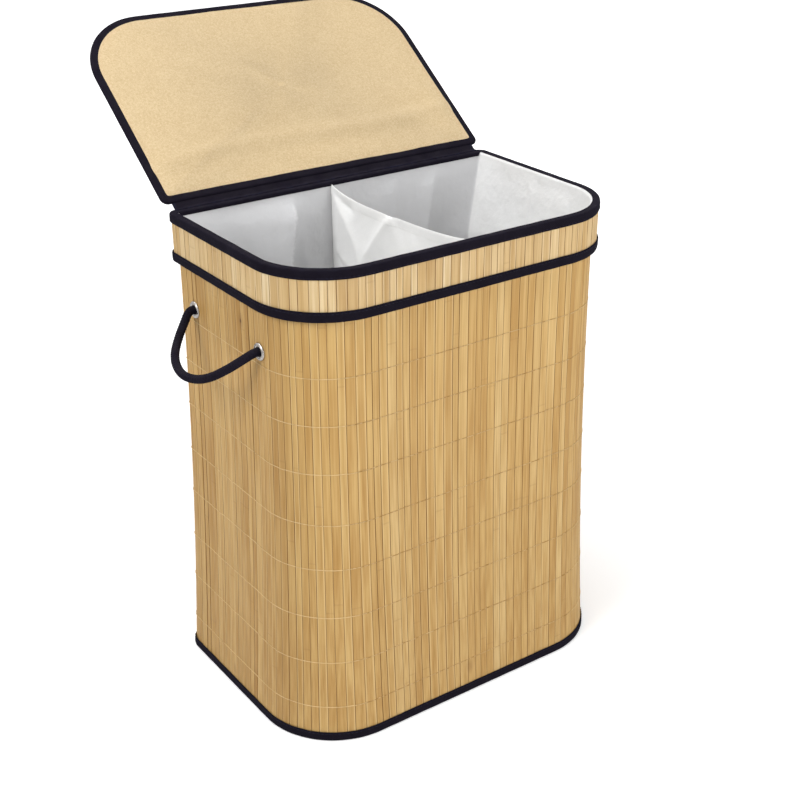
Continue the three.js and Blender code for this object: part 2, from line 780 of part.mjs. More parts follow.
// The divider is two layers of cloth between the front and back walls, a little slack.
// Its wave is a share of a full turn along the cloth, and moves on by a share each row.
const dividerWaveShare = 0.8;
const dividerDriftShare = 0.175;
function linerDivider() {
  const thickness = 2 * linerThickness;
  const floor = linerBottom + linerThickness + fit;
  const foot = [floor, 0, linerLongInset + linerFloorRounding, 0];
  const grids = [-1, 1].map((side) => [...bagLevels, foot].map(([z, , insetY], row) => {
    const reach = collarDepth / 2 - insetY - linerThickness - fit;
    return Array.from({ length: dividerParts + 1 }, (_, part) => {
      const share = part / dividerParts;
      const arch = Math.sin(Math.PI * share);
      const turn = 2 * Math.PI * (dividerWaveShare * share + dividerDriftShare * row);
      const slack = dividerSlack * arch * Math.sin(turn);
      const sag = row === 0 ? dividerSag * arch : 0;
      return [slack + (side * thickness) / 2, -reach + 2 * reach * share, z - sag];
    });
  }));
  return sheetBody(grids[0], grids[1]);
}

// The assembly
const hamper = new THREE.Group();
hamper.add(
  meshOf('body_slats', bodySlats(), bamboo),
  meshOf('body_backing', bodyBacking(), backingCloth),
  meshOf('body_bottom_binding', bodyBottomBinding(), navyTape),
  meshOf('base_cover', baseCover(), navyTape),
  meshOf('base_board', baseBoard(), boardStock),
);

const sides = [['left', -1], ['right', 1]];
const ends = [['front', eyeletPlaces[0]], ['rear', eyeletPlaces[1]]];
for (const [sideName, side] of sides) {
  for (const [endName, place] of ends) {
    const fittings = new THREE.Group();
    fittings.position.set(0, place, eyeletHeight);
    fittings.rotation.z = (-side * Math.PI) / 2;
    fittings.add(
      meshOf(`eyelet_${sideName}_${endName}`, eyelet(), chromeMetal),
      meshOf(`washer_${sideName}_${endName}`, washer(), chromeMetal),
      meshOf(`rope_end_${sideName}_${endName}`, ropeEnd(), navyRope),
    );
    hamper.add(fittings);
  }
  const handle = meshOf(`handle_rope_${sideName}`, ropeLoop(), navyRope);
  handle.position.set(side * swingAxis, rearEyeletPlace - eyeletSpacing / 2, eyeletHeight);
  handle.rotation.y = -side * handleTilt;
  hamper.add(handle);
}

hamper.add(
  meshOf('liner_bag', linerBag(), linerCloth),
  meshOf('liner_divider', linerDivider(), linerCloth),
  meshOf('collar_slats', collarSlats(), bamboo),
  meshOf('collar_backing', collarBacking(), backingCloth),
  meshOf('collar_top_binding', collarTopBinding(), navyTape),
  meshOf('collar_bottom_binding', collarBottomBinding(), navyTape),
);

const hingeLine = new THREE.Group();
hingeLine.position.set(0, collarDepth / 2 + hingeOffset, rimHeight + hingeOffset);
hingeLine.add(meshOf('lid_hinge_tape', lidHingeTape(), navyTape));
hamper.add(hingeLine);

const lid = new THREE.Group();
lid.rotation.x = -lidOpenAngle;
lid.add(
  meshOf('lid_lining', lidLayer(lidLiningBottom, lidLiningThickness), liningCloth),
  meshOf('lid_board', lidLayer(lidBoardBottom, lidBoardThickness), boardStock),
  meshOf('lid_slats', lidSlats(), bamboo),
  meshOf('lid_binding', lidBinding(), navyTape),
);
hingeLine.add(lid);

export default hamper;
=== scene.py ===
"""Looks of the two-bin laundry hamper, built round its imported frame."""
import logging
import math
from dataclasses import dataclass, field, replace
from enum import Enum
from typing import Callable, Sequence

import bmesh
import bpy
import numpy as np
from mathutils import Matrix, Vector


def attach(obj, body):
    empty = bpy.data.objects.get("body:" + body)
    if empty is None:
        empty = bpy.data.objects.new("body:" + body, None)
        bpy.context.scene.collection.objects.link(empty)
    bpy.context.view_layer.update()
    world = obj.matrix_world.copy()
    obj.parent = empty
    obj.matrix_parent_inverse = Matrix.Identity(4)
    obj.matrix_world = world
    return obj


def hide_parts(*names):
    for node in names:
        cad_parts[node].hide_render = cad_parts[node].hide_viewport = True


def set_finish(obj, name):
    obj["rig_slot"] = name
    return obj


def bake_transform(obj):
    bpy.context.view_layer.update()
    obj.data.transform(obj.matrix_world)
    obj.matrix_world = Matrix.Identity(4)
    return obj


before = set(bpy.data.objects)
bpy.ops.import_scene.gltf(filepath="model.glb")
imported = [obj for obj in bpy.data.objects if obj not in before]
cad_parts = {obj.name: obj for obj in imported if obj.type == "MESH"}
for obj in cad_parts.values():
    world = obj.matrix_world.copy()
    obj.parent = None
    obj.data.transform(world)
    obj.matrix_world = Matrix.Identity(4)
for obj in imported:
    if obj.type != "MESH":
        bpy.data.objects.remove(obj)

Tree, Node, Socket = bpy.types.NodeTree, bpy.types.Node, bpy.types.NodeSocket
Piece, Array = bpy.types.Object, np.ndarray
Pairs = tuple[tuple[float, float], ...]

MM = 0.001
TURN = 2 * math.pi
LOG = logging.getLogger("hamper")


def srgb(red: float, green: float, blue: float) -> tuple[float, float, float, float]:
    """Turns a colour as seen on screen into the linear colour that shaders use.

    Args:
        red: Red from 0 to 1.
        green: Green from 0 to 1.
        blue: Blue from 0 to 1.

    Returns:
        The linear colour with a full alpha.
    """
    def linear(value: float) -> float:
        """Decodes one channel."""
        return value / 12.92 if value <= 0.04045 else ((value + 0.055) / 1.055) ** 2.4

    return (linear(red), linear(green), linear(blue), 1.0)


def soft_step(value: Array, low: float, high: float) -> Array:
    """Rises smoothly from 0 at low to 1 at high."""
    share = np.clip((np.asarray(value, float) - low) / (high - low), 0.0, 1.0)
    return share * share * (3 - 2 * share)


# Node trees

@dataclass
class Sketch:
    """A node tree that is written down in short calls."""

    tree: Tree

    def feed(self, node: Node, inputs: dict) -> Node:
        """Links or fills a node's inputs.

        Args:
            node: The node.
            inputs: Sockets or plain values by input name or number.

        Returns:
            The same node.
        """
        for name, value in inputs.items():
            if isinstance(value, Socket):
                self.tree.links.new(value, node.inputs[name])
            else:
                node.inputs[name].default_value = value
        return node

    def add(self, kind: str, inputs: dict | None = None, **settings: object) -> Node:
        """Adds a node, sets it and links or fills its inputs.

        Args:
            kind: The node's type name without its ShaderNode prefix.
            inputs: Sockets or plain values by input name or number.
            settings: Properties of the node itself.

        Returns:
            The new node.
        """
        prefix = "" if kind.startswith("Node") else "ShaderNode"
        node = self.tree.nodes.new(prefix + kind)
        for name, value in settings.items():
            setattr(node, name, value)
        return self.feed(node, inputs or {})

    def math(self, operation: str, *values: object) -> Socket:
        """Adds a Math node on up to three values and gives its result."""
        return self.add("Math", dict(enumerate(values)), operation=operation).outputs[0]

    def times(self, first: object, second: object) -> Socket:
        """Multiplies two values."""
        return self.math("MULTIPLY", first, second)

    def plus(self, first: object, second: object) -> Socket:
        """Adds two values."""
        return self.math("ADD", first, second)

    def stretch(self, vector: Socket, factors: tuple[float, float, float]) -> Socket:
        """Multiplies a vector's three parts."""
        return self.vector("MULTIPLY", vector, factors)

    def split(self, vector: Socket) -> Sequence[Socket]:
        """Gives a vector's three parts."""
        return self.add("SeparateXYZ", {0: vector}).outputs

    def vector(self, operation: str, *values: object) -> Socket:
        """Adds a Vector Math node and gives its vector result."""
        node = self.add("VectorMath", dict(enumerate(values)), operation=operation)
        return node.outputs["Value" if operation in ("LENGTH", "DISTANCE") else "Vector"]

    def mix(self, share: object, first: object, second: object) -> Socket:
        """Mixes two colours by a share and gives the colour."""
        return self.add("Mix", {0: share, 6: first, 7: second}, data_type="RGBA").outputs[2]

    def noise(self, vector: object, scale: float, detail: float = 3.0) -> Socket:
        """Adds a noise from 0 to 1 on a vector and gives its value."""
        return self.add("TexNoise", {"Vector": vector, "Scale": scale, "Detail": detail}).outputs[0]

    def remap(self, value: object, low: float, high: float, to_low: float = 0.0,
              to_high: float = 1.0) -> Socket:
        """Maps a value smoothly from the range low to high to another range."""
        ends = {0: value, 1: low, 2: high, 3: to_low, 4: to_high}
        return self.add("MapRange", ends, interpolation_type="SMOOTHSTEP").outputs[0]

    def place(self) -> Socket:
        """Gives the surface point in the object's own frame."""
        return self.add("TexCoord").outputs["Object"]

    def lay(self) -> Socket:
        """Gives the surface point in the cloth's or slat's own lengths."""
        return self.add("UVMap", uv_map="lay").outputs[0]

    def tone(self) -> Socket:
        """Gives the tone that each face of a mesh carries."""
        return self.add("Attribute", attribute_name="tone").outputs["Fac"]

    def chance(self, tone: Socket) -> Socket:
        """Gives each tone a chance value of its own."""
        return self.add("TexWhiteNoise", {"W": tone}, noise_dimensions="1D").outputs[0]


class Effect(Enum):
    """Effects that several finishes share as node groups."""

    GRAIN = "bamboo_grain"
    SPOT = "bamboo_spot"
    WEAVE = "cloth_weave"
    FIBRE = "cloth_fibre"
    WEAR = "edge_wear_and_highlight"
    DUST = "settled_dust"


@dataclass
class EffectShelf:
    """Keeps each effect's node group."""

    groups: dict[Effect, Tree] = field(default_factory=dict)

    def place(self, sketch: Sketch, effect: Effect, inputs: dict) -> bpy.types.NodeOutputs:
        """Places an effect's group in a material, made once when it is first asked for.

        Args:
            sketch: The material's tree.
            effect: The effect wanted.
            inputs: Values or sockets for the group's inputs.

        Returns:
            The group's outputs by name.
        """
        makers = {
            Effect.GRAIN: self._grain, Effect.SPOT: self._spot, Effect.WEAVE: self._weave,
            Effect.FIBRE: self._fibre, Effect.WEAR: self._wear, Effect.DUST: self._dust}
        if effect not in self.groups:
            self.groups[effect] = makers[effect]()
        node = sketch.tree.nodes.new("ShaderNodeGroup")
        node.node_tree = self.groups[effect]
        return sketch.feed(node, inputs).outputs

    @staticmethod
    def _start(effect: Effect, inputs: dict[str, object], outputs: Sequence[str]) -> tuple:
        """Starts a group with named sockets.

        Args:
            effect: The effect that the group makes.
            inputs: Each input's name and first value; a vector starts as None.
            outputs: The names of the outputs, all of them values.

        Returns:
            The sketch, the sockets that the group is given, and its output node.
        """
        tree = bpy.data.node_groups.new(effect.value, "ShaderNodeTree")
        for name, value in inputs.items():
            kind = "NodeSocketVector" if value is None else "NodeSocketFloat"
            socket = tree.interface.new_socket(name=name, in_out="INPUT", socket_type=kind)
            if value is not None:
                socket.default_value = value
        for name in outputs:
            tree.interface.new_socket(name=name, in_out="OUTPUT", socket_type="NodeSocketFloat")
        sketch = Sketch(tree)
        given, out = sketch.add("NodeGroupInput"), sketch.add("NodeGroupOutput")
        return sketch, given.outputs, out

    def _grain(self) -> Tree:
        """Makes long bamboo fibres, stains and a joint on each slat."""
        inputs = {"Vector": None, "Slat": 0.5, "Fibres": 420.0}
        sketch, given, out = self._start(Effect.GRAIN, inputs, ("Tone", "Joint", "Height"))
        shift = sketch.times(given["Slat"], 53.0)
        moved = sketch.vector("ADD", given["Vector"], sketch.add(
            "CombineXYZ", {0: shift, 1: shift, 2: shift}).outputs[0])
        fibres = sketch.noise(sketch.stretch(moved, (1.0, 1.0, 0.02)), given["Fibres"], 4.0)
        streaks = sketch.noise(sketch.stretch(moved, (1.0, 1.0, 0.05)), 130.0, 2.0)
        stains = sketch.noise(moved, 9.0, 2.0)
        tone = sketch.plus(sketch.times(fibres, 0.42), sketch.times(streaks, 0.34))
        tone = sketch.plus(tone, sketch.times(stains, 0.24))
        turn = sketch.math("FRACT", sketch.times(sketch.split(moved)[2], 2.9))
        to_joint = sketch.math("ABSOLUTE", sketch.math("SUBTRACT", turn, 0.5))
        joint = sketch.remap(to_joint, 0.0, 0.005, 1.0, 0.0)
        height = sketch.math("SUBTRACT", sketch.times(fibres, 0.8), sketch.times(joint, 0.5))
        sketch.feed(out, {"Tone": tone, "Joint": joint, "Height": height})
        return sketch.tree

    def _spot(self) -> Tree:
        """Makes one oval knot mark with a halo round a point."""
        sketch, given, out = self._start(
            Effect.SPOT, {"Vector": None, "Place": None, "Radius": 0.002}, ("Core", "Halo"))
        apart = sketch.vector("SUBTRACT", given["Vector"], given["Place"])
        far = sketch.vector("LENGTH", sketch.stretch(apart, (1.0, 1.0, 0.55)))
        share = sketch.math("DIVIDE", far, given["Radius"])
        core = sketch.remap(share, 0.6, 1.2, 1.0, 0.0)
        sketch.feed(out, {"Core": core, "Halo": sketch.remap(share, 0.8, 4.0, 1.0, 0.0)})
        return sketch.tree

    def _weave(self) -> Tree:
        """Makes a plain weave from the threads' own coordinates."""
        sketch, given, out = self._start(
            Effect.WEAVE, {"Lay": None, "Threads": 900.0}, ("Thread", "Height"))
        counts = [sketch.times(part, given["Threads"]) for part in sketch.split(given["Lay"])[:2]]
        waves = [sketch.math("SINE", sketch.times(count, math.pi)) for count in counts]
        cross = sketch.times(waves[0], waves[1])
        rounds = [sketch.math("ABSOLUTE", wave) for wave in waves]
        ridge = sketch.times(rounds[0], rounds[1])
        height = sketch.plus(sketch.times(ridge, 0.6), sketch.times(cross, 0.25))
        thread = sketch.plus(sketch.times(cross, 0.5), 0.5)
        sketch.feed(out, {"Thread": thread, "Height": height})
        return sketch.tree

    def _fibre(self) -> Tree:
        """Makes mottled short fibres with soft blotches."""
        sketch, given, out = self._start(
            Effect.FIBRE, {"Vector": None, "Fibres": 900.0, "Blotches": 0.4}, ("Tone", "Height"))
        fine = sketch.add("TexNoise", {
            "Vector": given["Vector"], "Scale": given["Fibres"], "Detail": 4.0,
            "Distortion": 1.2}).outputs[0]
        blotch = sketch.noise(given["Vector"], 60.0, 3.0)
        tone = sketch.add("Mix", {0: given["Blotches"], 2: fine, 3: blotch}).outputs[0]
        sketch.feed(out, {"Tone": tone, "Height": fine})
        return sketch.tree

    def _wear(self) -> Tree:
        """Makes a mask of rubbed, raised edges, which on the navy tape also carries a painted
        highlight.
        """
        sketch, given, out = self._start(Effect.WEAR, {"Vector": None, "Amount": 0.5}, ("Mask",))
        sharp = sketch.remap(sketch.add("NewGeometry").outputs["Pointiness"], 0.505, 0.56)
        broken = sketch.remap(sketch.noise(given["Vector"], 240.0), 0.35, 0.65)
        mask = sketch.times(sharp, broken)
        sketch.feed(out, {"Mask": sketch.times(mask, given["Amount"])})
        return sketch.tree

    def _dust(self) -> Tree:
        """Makes a faint mask of dust where a face looks up."""
        sketch, given, out = self._start(Effect.DUST, {"Vector": None, "Amount": 0.2}, ("Mask",))
        facing = sketch.split(sketch.add("NewGeometry").outputs["Normal"])[2]
        patchy = sketch.remap(sketch.noise(given["Vector"], 45.0), 0.3, 0.75)
        mask = sketch.times(sketch.remap(facing, 0.2, 1.0), patchy)
        sketch.feed(out, {"Mask": sketch.times(mask, given["Amount"])})
        return sketch.tree


SHELF = EffectShelf()


# Finishes

@dataclass
class Finish:
    """A finish of the record, made into a material once."""

    slot: str
    label: str
    made: bpy.types.Material | None = None

    def material(self) -> bpy.types.Material:
        """Gives the finish's material, made on the first call."""
        if self.made is None:
            self.made = bpy.data.materials.new(self.label)
            self.made.use_nodes = True
            self.made.node_tree.nodes.clear()
            sketch = Sketch(self.made.node_tree)
            shader = sketch.add("BsdfPrincipled")
            self.dress(sketch, shader)
            sketch.add("OutputMaterial", {"Surface": shader.outputs[0]})
        return self.made

    def dress(self, sketch: Sketch, shader: Node) -> None:
        """Fills the shader; each finish does this its own way."""
        raise NotImplementedError

    @staticmethod
    def relief(sketch: Sketch, height: object, depth: float) -> Socket:
        """Turns a height into a normal, with the relief's depth in metres."""
        return sketch.add("Bump", {"Height": height, "Distance": depth, "Strength": 1.0}).outputs[0]


@dataclass
class BambooFinish(Finish):
    """Split bamboo in mixed cream and honey tones."""

    slot: str = "bamboo"
    label: str = "bamboo"
    honey: tuple = srgb(0.75, 0.592, 0.345)
    straw: tuple = srgb(0.832, 0.688, 0.436)
    cream: tuple = srgb(0.925, 0.822, 0.607)
    joint_share: float = 0.14
    painted_foot_shade: float = 0.9
    # Brown of the joints and knot halos, also used as painted shade in the gaps between slats.
    joint_and_gap_shade_brown: tuple = srgb(0.55, 0.39, 0.21)
    knot_brown: tuple = srgb(0.3, 0.17, 0.07)
    under_shade: tuple = srgb(0.86, 0.8, 0.7)
    dust_colour: tuple = srgb(0.8, 0.77, 0.72)
    # In metres, near the three dark marks of the photograph
    knots: tuple = ((-0.228, 0.03, 0.022), (-0.002, -0.143, 0.034), (-0.219, -0.009, 0.497))
    knot_radius: float = 2 * MM
    shaded_up_to: float = 0.52
    relief_depth: float = 0.35 * MM
    is_flat: bool = False
    flat_slat_width: float = 10.5 * MM

    def dress(self, sketch: Sketch, shader: Node) -> None:
        """Mixes slat tone, fibres, joints and knots, with painted highlights and shade at the
        slats' edges and painted shade towards the foot.

        Args:
            sketch: The material's tree.
            shader: The shader to fill.
        """
        place, tone = sketch.place(), sketch.tone()
        grain_place = place
        if self.is_flat:
            # As if the slat stood upright, so that its fibres run along it
            parts = sketch.split(sketch.lay())
            across = sketch.times(parts[0], self.flat_slat_width)
            grain_place = sketch.add("CombineXYZ", {0: across, 1: tone, 2: parts[1]}).outputs[0]
        grain = SHELF.place(sketch, Effect.GRAIN, {"Vector": grain_place, "Slat": tone})
        colour = self._slat_colour(sketch, tone, grain)
        colour = self._edges(sketch, tone, colour)
        for knot in self.knots:
            spot = SHELF.place(
                sketch, Effect.SPOT, {"Vector": place, "Place": knot, "Radius": self.knot_radius})
            colour = sketch.mix(sketch.times(spot["Halo"], 0.45), colour, self.joint_and_gap_shade_brown)
            colour = sketch.mix(spot["Core"], colour, self.knot_brown)
        dust = SHELF.place(sketch, Effect.DUST, {"Vector": place, "Amount": 0.15})
        colour = sketch.mix(dust["Mask"], colour, self.dust_colour)
        # Painted shade: the colour darkens towards the foot, as if less light reached the lower
        # wall.
        shade = sketch.remap(sketch.split(place)[2], 0.0, self.shaded_up_to, self.painted_foot_shade, 1.0)
        shaded = sketch.add("VectorMath", {0: colour, "Scale": shade}, operation="SCALE")
        sketch.feed(shader, {
            "Base Color": shaded.outputs[0],
            "Roughness": sketch.remap(grain["Tone"], 0.3, 0.7, 0.62, 0.46),
            "Specular IOR Level": 0.35,
            "Normal": self.relief(sketch, grain["Height"], self.relief_depth)})

    def _slat_colour(self, sketch: Sketch, tone: Socket,
                     grain: bpy.types.NodeOutputs) -> Socket:
        """Mixes a slat's own colour with its streaks and joint.

        Args:
            sketch: The material's tree.
            tone: The slat's tone.
            grain: The grain effect's outputs.

        Returns:
            The socket with the colour.
        """
        ramp = sketch.add("ValToRGB", {0: tone})
        ramp.color_ramp.elements[0].color = self.honey
        ramp.color_ramp.elements[1].color = self.cream
        ramp.color_ramp.elements.new(0.5).color = self.straw
        dark = sketch.mix(1.0, ramp.outputs[0], self.under_shade)
        dark.node.blend_type = "MULTIPLY"
        colour = sketch.mix(sketch.remap(grain["Tone"], 0.32, 0.68), dark, ramp.outputs[0])
        joint = sketch.times(grain["Joint"], self.joint_share)
        return sketch.mix(joint, colour, self.joint_and_gap_shade_brown)

    def _edges(self, sketch: Sketch, tone: Socket, colour: Socket) -> Socket:
        """Adds a painted highlight on a slat's shoulders and painted shade on its sides.

        Args:
            sketch: The material's tree.
            tone: The slat's tone.
            colour: The colour so far.

        Returns:
            The socket with the new colour.
        """
        across = sketch.split(sketch.lay())[0]
        edge = sketch.math("ABSOLUTE", sketch.math("SUBTRACT", across, 0.5))
        # Painted highlight: a paler band along each slat's shoulders, stronger on some slats than
        # others.
        painted_shoulder_highlight = sketch.remap(edge, 0.3, 0.4)
        painted_shoulder_highlight = sketch.times(painted_shoulder_highlight, sketch.remap(edge, 0.42, 0.47, 1.0, 0.0))
        shine = sketch.remap(sketch.chance(tone), 0.35, 0.75, 0.05, 0.5)
        colour = sketch.mix(sketch.times(painted_shoulder_highlight, shine), colour, self.cream)
        # Painted shade: each slat's sides and the gaps between slats are darkened brown, more on
        # some slats than others.
        painted_gap_shade = sketch.remap(sketch.chance(sketch.plus(tone, 3.0)), 0.1, 0.8, 0.25, 0.75)
        side = sketch.times(sketch.remap(edge, 0.45, 0.52), painted_gap_shade)
        colour = sketch.mix(side, colour, self.joint_and_gap_shade_brown)
        return sketch.mix(sketch.remap(edge, 0.488, 0.499, 0.0, 0.85), colour, self.joint_and_gap_shade_brown)


@dataclass
class ClothFinish(Finish):
    """Woven or felted cloth with its own weave, fibres and sheen."""

    colour: tuple = srgb(0.92, 0.92, 0.92)
    shade: tuple = srgb(0.85, 0.85, 0.85)
    wear_and_highlight_colour: tuple = srgb(0.95, 0.95, 0.95)
    threads: float = 900.0
    weave_depth: float = 0.12 * MM
    fibre_share: float = 0.5
    roughness: float = 0.9
    sheen: float = 0.15
    sheen_tint: tuple = (1.0, 1.0, 1.0, 1.0)
    dust: float = 0.0
    fibres: float = 700.0
    blotches: float = 0.4
    painted_shade_colour: tuple | None = None
    gloss: float = 0.2
    crumple: float = 0.0
    crumple_scale: float = 60.0
    dust_colour: tuple = srgb(0.6, 0.58, 0.56)

    def dress(self, sketch: Sketch, shader: Node) -> None:
        """Mixes thread and fibre tones, painted shade by face tone, rubbed edges with a painted
        highlight, and a weave relief.

        Args:
            sketch: The material's tree.
            shader: The shader to fill.
        """
        place = sketch.place()
        weave = SHELF.place(sketch, Effect.WEAVE, {"Lay": sketch.lay(), "Threads": self.threads})
        fibre = SHELF.place(sketch, Effect.FIBRE, {
            "Vector": place, "Fibres": self.fibres, "Blotches": self.blotches})
        mottled = sketch.remap(fibre["Tone"], 0.35, 0.65)
        tone = sketch.add("Mix", {0: self.fibre_share, 2: weave["Thread"], 3: mottled})
        colour = sketch.mix(tone.outputs[0], self.shade, self.colour)
        # Painted shade: faces with a low tone are mixed towards the darker colour.
        if self.painted_shade_colour:
            colour = sketch.mix(sketch.tone(), self.painted_shade_colour, colour)
        # Raised edges take the edge colour: rubbing, and on the navy tape a painted blue highlight.
        raised_edges = SHELF.place(sketch, Effect.WEAR, {"Vector": place, "Amount": 0.5})
        colour = sketch.mix(raised_edges["Mask"], colour, self.wear_and_highlight_colour)
        if self.dust:
            dust = SHELF.place(sketch, Effect.DUST, {"Vector": place, "Amount": self.dust})
            colour = sketch.mix(dust["Mask"], colour, self.dust_colour)
        height = sketch.times(fibre["Height"], self.fibre_share)
        height = sketch.plus(weave["Height"], height)
        if self.crumple:
            soft = sketch.noise(place, self.crumple_scale, 4.0)
            soft = sketch.times(soft, self.crumple / self.weave_depth)
            height = sketch.plus(height, soft)
        sketch.feed(shader, {
            "Base Color": colour,
            "Roughness": sketch.remap(mottled, 0.0, 1.0, self.roughness, self.roughness - 0.1),
            "Sheen Weight": self.sheen, "Sheen Roughness": 0.4, "Sheen Tint": self.sheen_tint,
            "Specular IOR Level": self.gloss,
            "Normal": self.relief(sketch, height, self.weave_depth)})


@dataclass
class ChromeFinish(Finish):
    """Bright plated metal with fine rubbing marks."""

    slot: str = "eyelet_metal"
    label: str = "bright_metal"

    def dress(self, sketch: Sketch, shader: Node) -> None:
        """Sets bright metal with slightly uneven gloss.

        Args:
            sketch: The material's tree.
            shader: The shader to fill.
        """
        place = sketch.place()
        marks = sketch.noise(sketch.stretch(place, (1.0, 4.0, 1.0)), 500.0)
        raised_edges = SHELF.place(sketch, Effect.WEAR, {"Vector": place, "Amount": 0.6})
        colour = sketch.mix(
            sketch.remap(marks, 0.3, 0.7), srgb(0.6, 0.58, 0.56), srgb(0.74, 0.72, 0.7))
        sketch.feed(shader, {
            "Base Color": sketch.mix(raised_edges["Mask"], colour, srgb(0.86, 0.85, 0.83)),
            "Metallic": 1.0,
            "Roughness": sketch.remap(marks, 0.2, 0.8, 0.12, 0.24),
            "Normal": self.relief(sketch, marks, 0.02 * MM)})


@dataclass
class BoardFinish(Finish):
    """Grey-brown fibre board."""

    slot: str = "board"
    label: str = "fibre_board"

    def dress(self, sketch: Sketch, shader: Node) -> None:
        """Mixes pressed fibres of two browns.

        Args:
            sketch: The material's tree.
            shader: The shader to fill.
        """
        place = sketch.place()
        fibre = SHELF.place(sketch, Effect.FIBRE, {"Vector": place, "Fibres": 500.0})
        raised_edges = SHELF.place(sketch, Effect.WEAR, {"Vector": place, "Amount": 0.7})
        mottled = sketch.remap(fibre["Tone"], 0.35, 0.65)
        colour = sketch.mix(mottled, srgb(0.5, 0.39, 0.26), srgb(0.66, 0.54, 0.38))
        sketch.feed(shader, {
            "Base Color": sketch.mix(raised_edges["Mask"], colour, srgb(0.75, 0.66, 0.52)),
            "Roughness": sketch.remap(fibre["Tone"], 0.0, 1.0, 0.9, 0.75),
            "Normal": self.relief(sketch, fibre["Height"], 0.25 * MM)})


@dataclass
class FloorFinish(Finish):
    """Plain white floor with a faint mottle."""

    slot: str = "board"
    label: str = "studio_floor"
    lit_radius: float = 0.6
    white_radius: float = 2.6
    least_glow: float = 0.38

    def dress(self, sketch: Sketch, shader: Node) -> None:
        """Sets a white floor that stays white to the camera outside the shadow.

        Args:
            sketch: The material's tree.
            shader: The shader to fill.
        """
        mottle = sketch.noise(sketch.place(), 3.0)
        # The lamps fade far from the hamper, so the floor's own white takes over there
        away = sketch.vector("LENGTH", sketch.place())
        glow = sketch.remap(away, self.lit_radius, self.white_radius, self.least_glow, 1.0)
        seen = sketch.add("LightPath").outputs["Is Camera Ray"]
        sketch.feed(shader, {
            "Base Color": sketch.mix(mottle, srgb(0.97, 0.97, 0.97), srgb(0.99, 0.99, 0.99)),
            "Roughness": 0.9, "Specular IOR Level": 0.1, "Emission Color": (1.0, 1.0, 1.0, 1.0),
            "Emission Strength": sketch.times(glow, seen)})


BAMBOO = BambooFinish()
COLLAR_BAMBOO = BambooFinish(
    label="bamboo_collar", knots=(), honey=srgb(0.78, 0.655, 0.455), straw=srgb(0.868, 0.752, 0.55),
    cream=srgb(0.94, 0.862, 0.705))
LID_BAMBOO = BambooFinish(label="bamboo_lid", knots=(), is_flat=True)
# The thread's darker colour is painted shade along the front of the hamper.
THREAD = ClothFinish(
    slot="bamboo", label="slat_thread", colour=srgb(0.9, 0.8, 0.6), shade=srgb(0.82, 0.7, 0.49),
    wear_and_highlight_colour=srgb(0.9, 0.8, 0.62), threads=1500.0, weave_depth=0.1 * MM, sheen=0.0,
    painted_shade_colour=srgb(0.62, 0.47, 0.25))
# The tape's edge colour is partly painted highlight, a faint blue along its raised edges.
TAPE = ClothFinish(
    slot="edge_tape", label="navy_tape", colour=srgb(0.12, 0.105, 0.145),
    shade=srgb(0.07, 0.06, 0.09), wear_and_highlight_colour=srgb(0.13, 0.14, 0.22), threads=850.0,
    weave_depth=0.25 * MM, fibre_share=0.35, sheen=0.02, sheen_tint=(0.35, 0.4, 0.75, 1.0),
    dust=0.015, gloss=0.04)
STITCH = ClothFinish(
    slot="edge_tape", label="tape_stitch", colour=srgb(0.13, 0.125, 0.18),
    shade=srgb(0.08, 0.075, 0.11), wear_and_highlight_colour=srgb(0.17, 0.17, 0.24), threads=2500.0,
    weave_depth=0.08 * MM, roughness=0.8, sheen=0.03, gloss=0.06)
ROPE = ClothFinish(
    slot="rope", label="navy_rope", colour=srgb(0.13, 0.115, 0.16), shade=srgb(0.07, 0.06, 0.09),
    wear_and_highlight_colour=srgb(0.14, 0.14, 0.2), threads=1400.0, weave_depth=0.2 * MM, sheen=0.03,
    sheen_tint=(0.45, 0.5, 0.8, 1.0), dust=0.02, gloss=0.05)
BACKING = ClothFinish(
    slot="backing_cloth", label="backing_cloth", colour=srgb(0.86, 0.79, 0.67),
    shade=srgb(0.78, 0.7, 0.57), wear_and_highlight_colour=srgb(0.9, 0.85, 0.75), fibre_share=0.9,
    weave_depth=0.15 * MM, roughness=0.95)
LINING = ClothFinish(
    slot="lid_lining", label="lid_lining", colour=srgb(0.862, 0.775, 0.62),
    shade=srgb(0.792, 0.69, 0.525), wear_and_highlight_colour=srgb(0.88, 0.79, 0.65), threads=1100.0, fibre_share=0.92,
    weave_depth=0.3 * MM, roughness=0.97, sheen=0.2, sheen_tint=(1.0, 0.93, 0.82, 1.0),
    fibres=520.0, blotches=0.14, crumple=0.5 * MM)
# The liner's darker colour is painted shade on the rear wall.
LINER = ClothFinish(
    slot="liner_cloth", label="liner_cloth", colour=srgb(0.935, 0.935, 0.932),
    shade=srgb(0.9, 0.9, 0.897), wear_and_highlight_colour=srgb(0.94, 0.94, 0.94), threads=1000.0, fibre_share=0.4,
    sheen=0.05, crumple=1.8 * MM, painted_shade_colour=srgb(0.78, 0.78, 0.79))
# Painted light: the divider is the liner's cloth made whiter, standing in for the brighter light on
# it.
DIVIDER = replace(
    LINER, label="divider_cloth", colour=srgb(0.975, 0.975, 0.97), shade=srgb(0.95, 0.95, 0.945),
    wear_and_highlight_colour=srgb(0.97, 0.97, 0.96), blotches=0.3, crumple=0.8 * MM, painted_shade_colour=None)
LINER_STITCH = ClothFinish(
    slot="liner_cloth", label="liner_stitch", colour=srgb(0.93, 0.93, 0.925),
    shade=srgb(0.86, 0.86, 0.855), wear_and_highlight_colour=srgb(0.96, 0.96, 0.96), threads=2500.0,
    weave_depth=0.06 * MM, roughness=0.8)
CHROME = ChromeFinish()
BOARD = BoardFinish()
FLOOR = FloorFinish()


# Mesh building

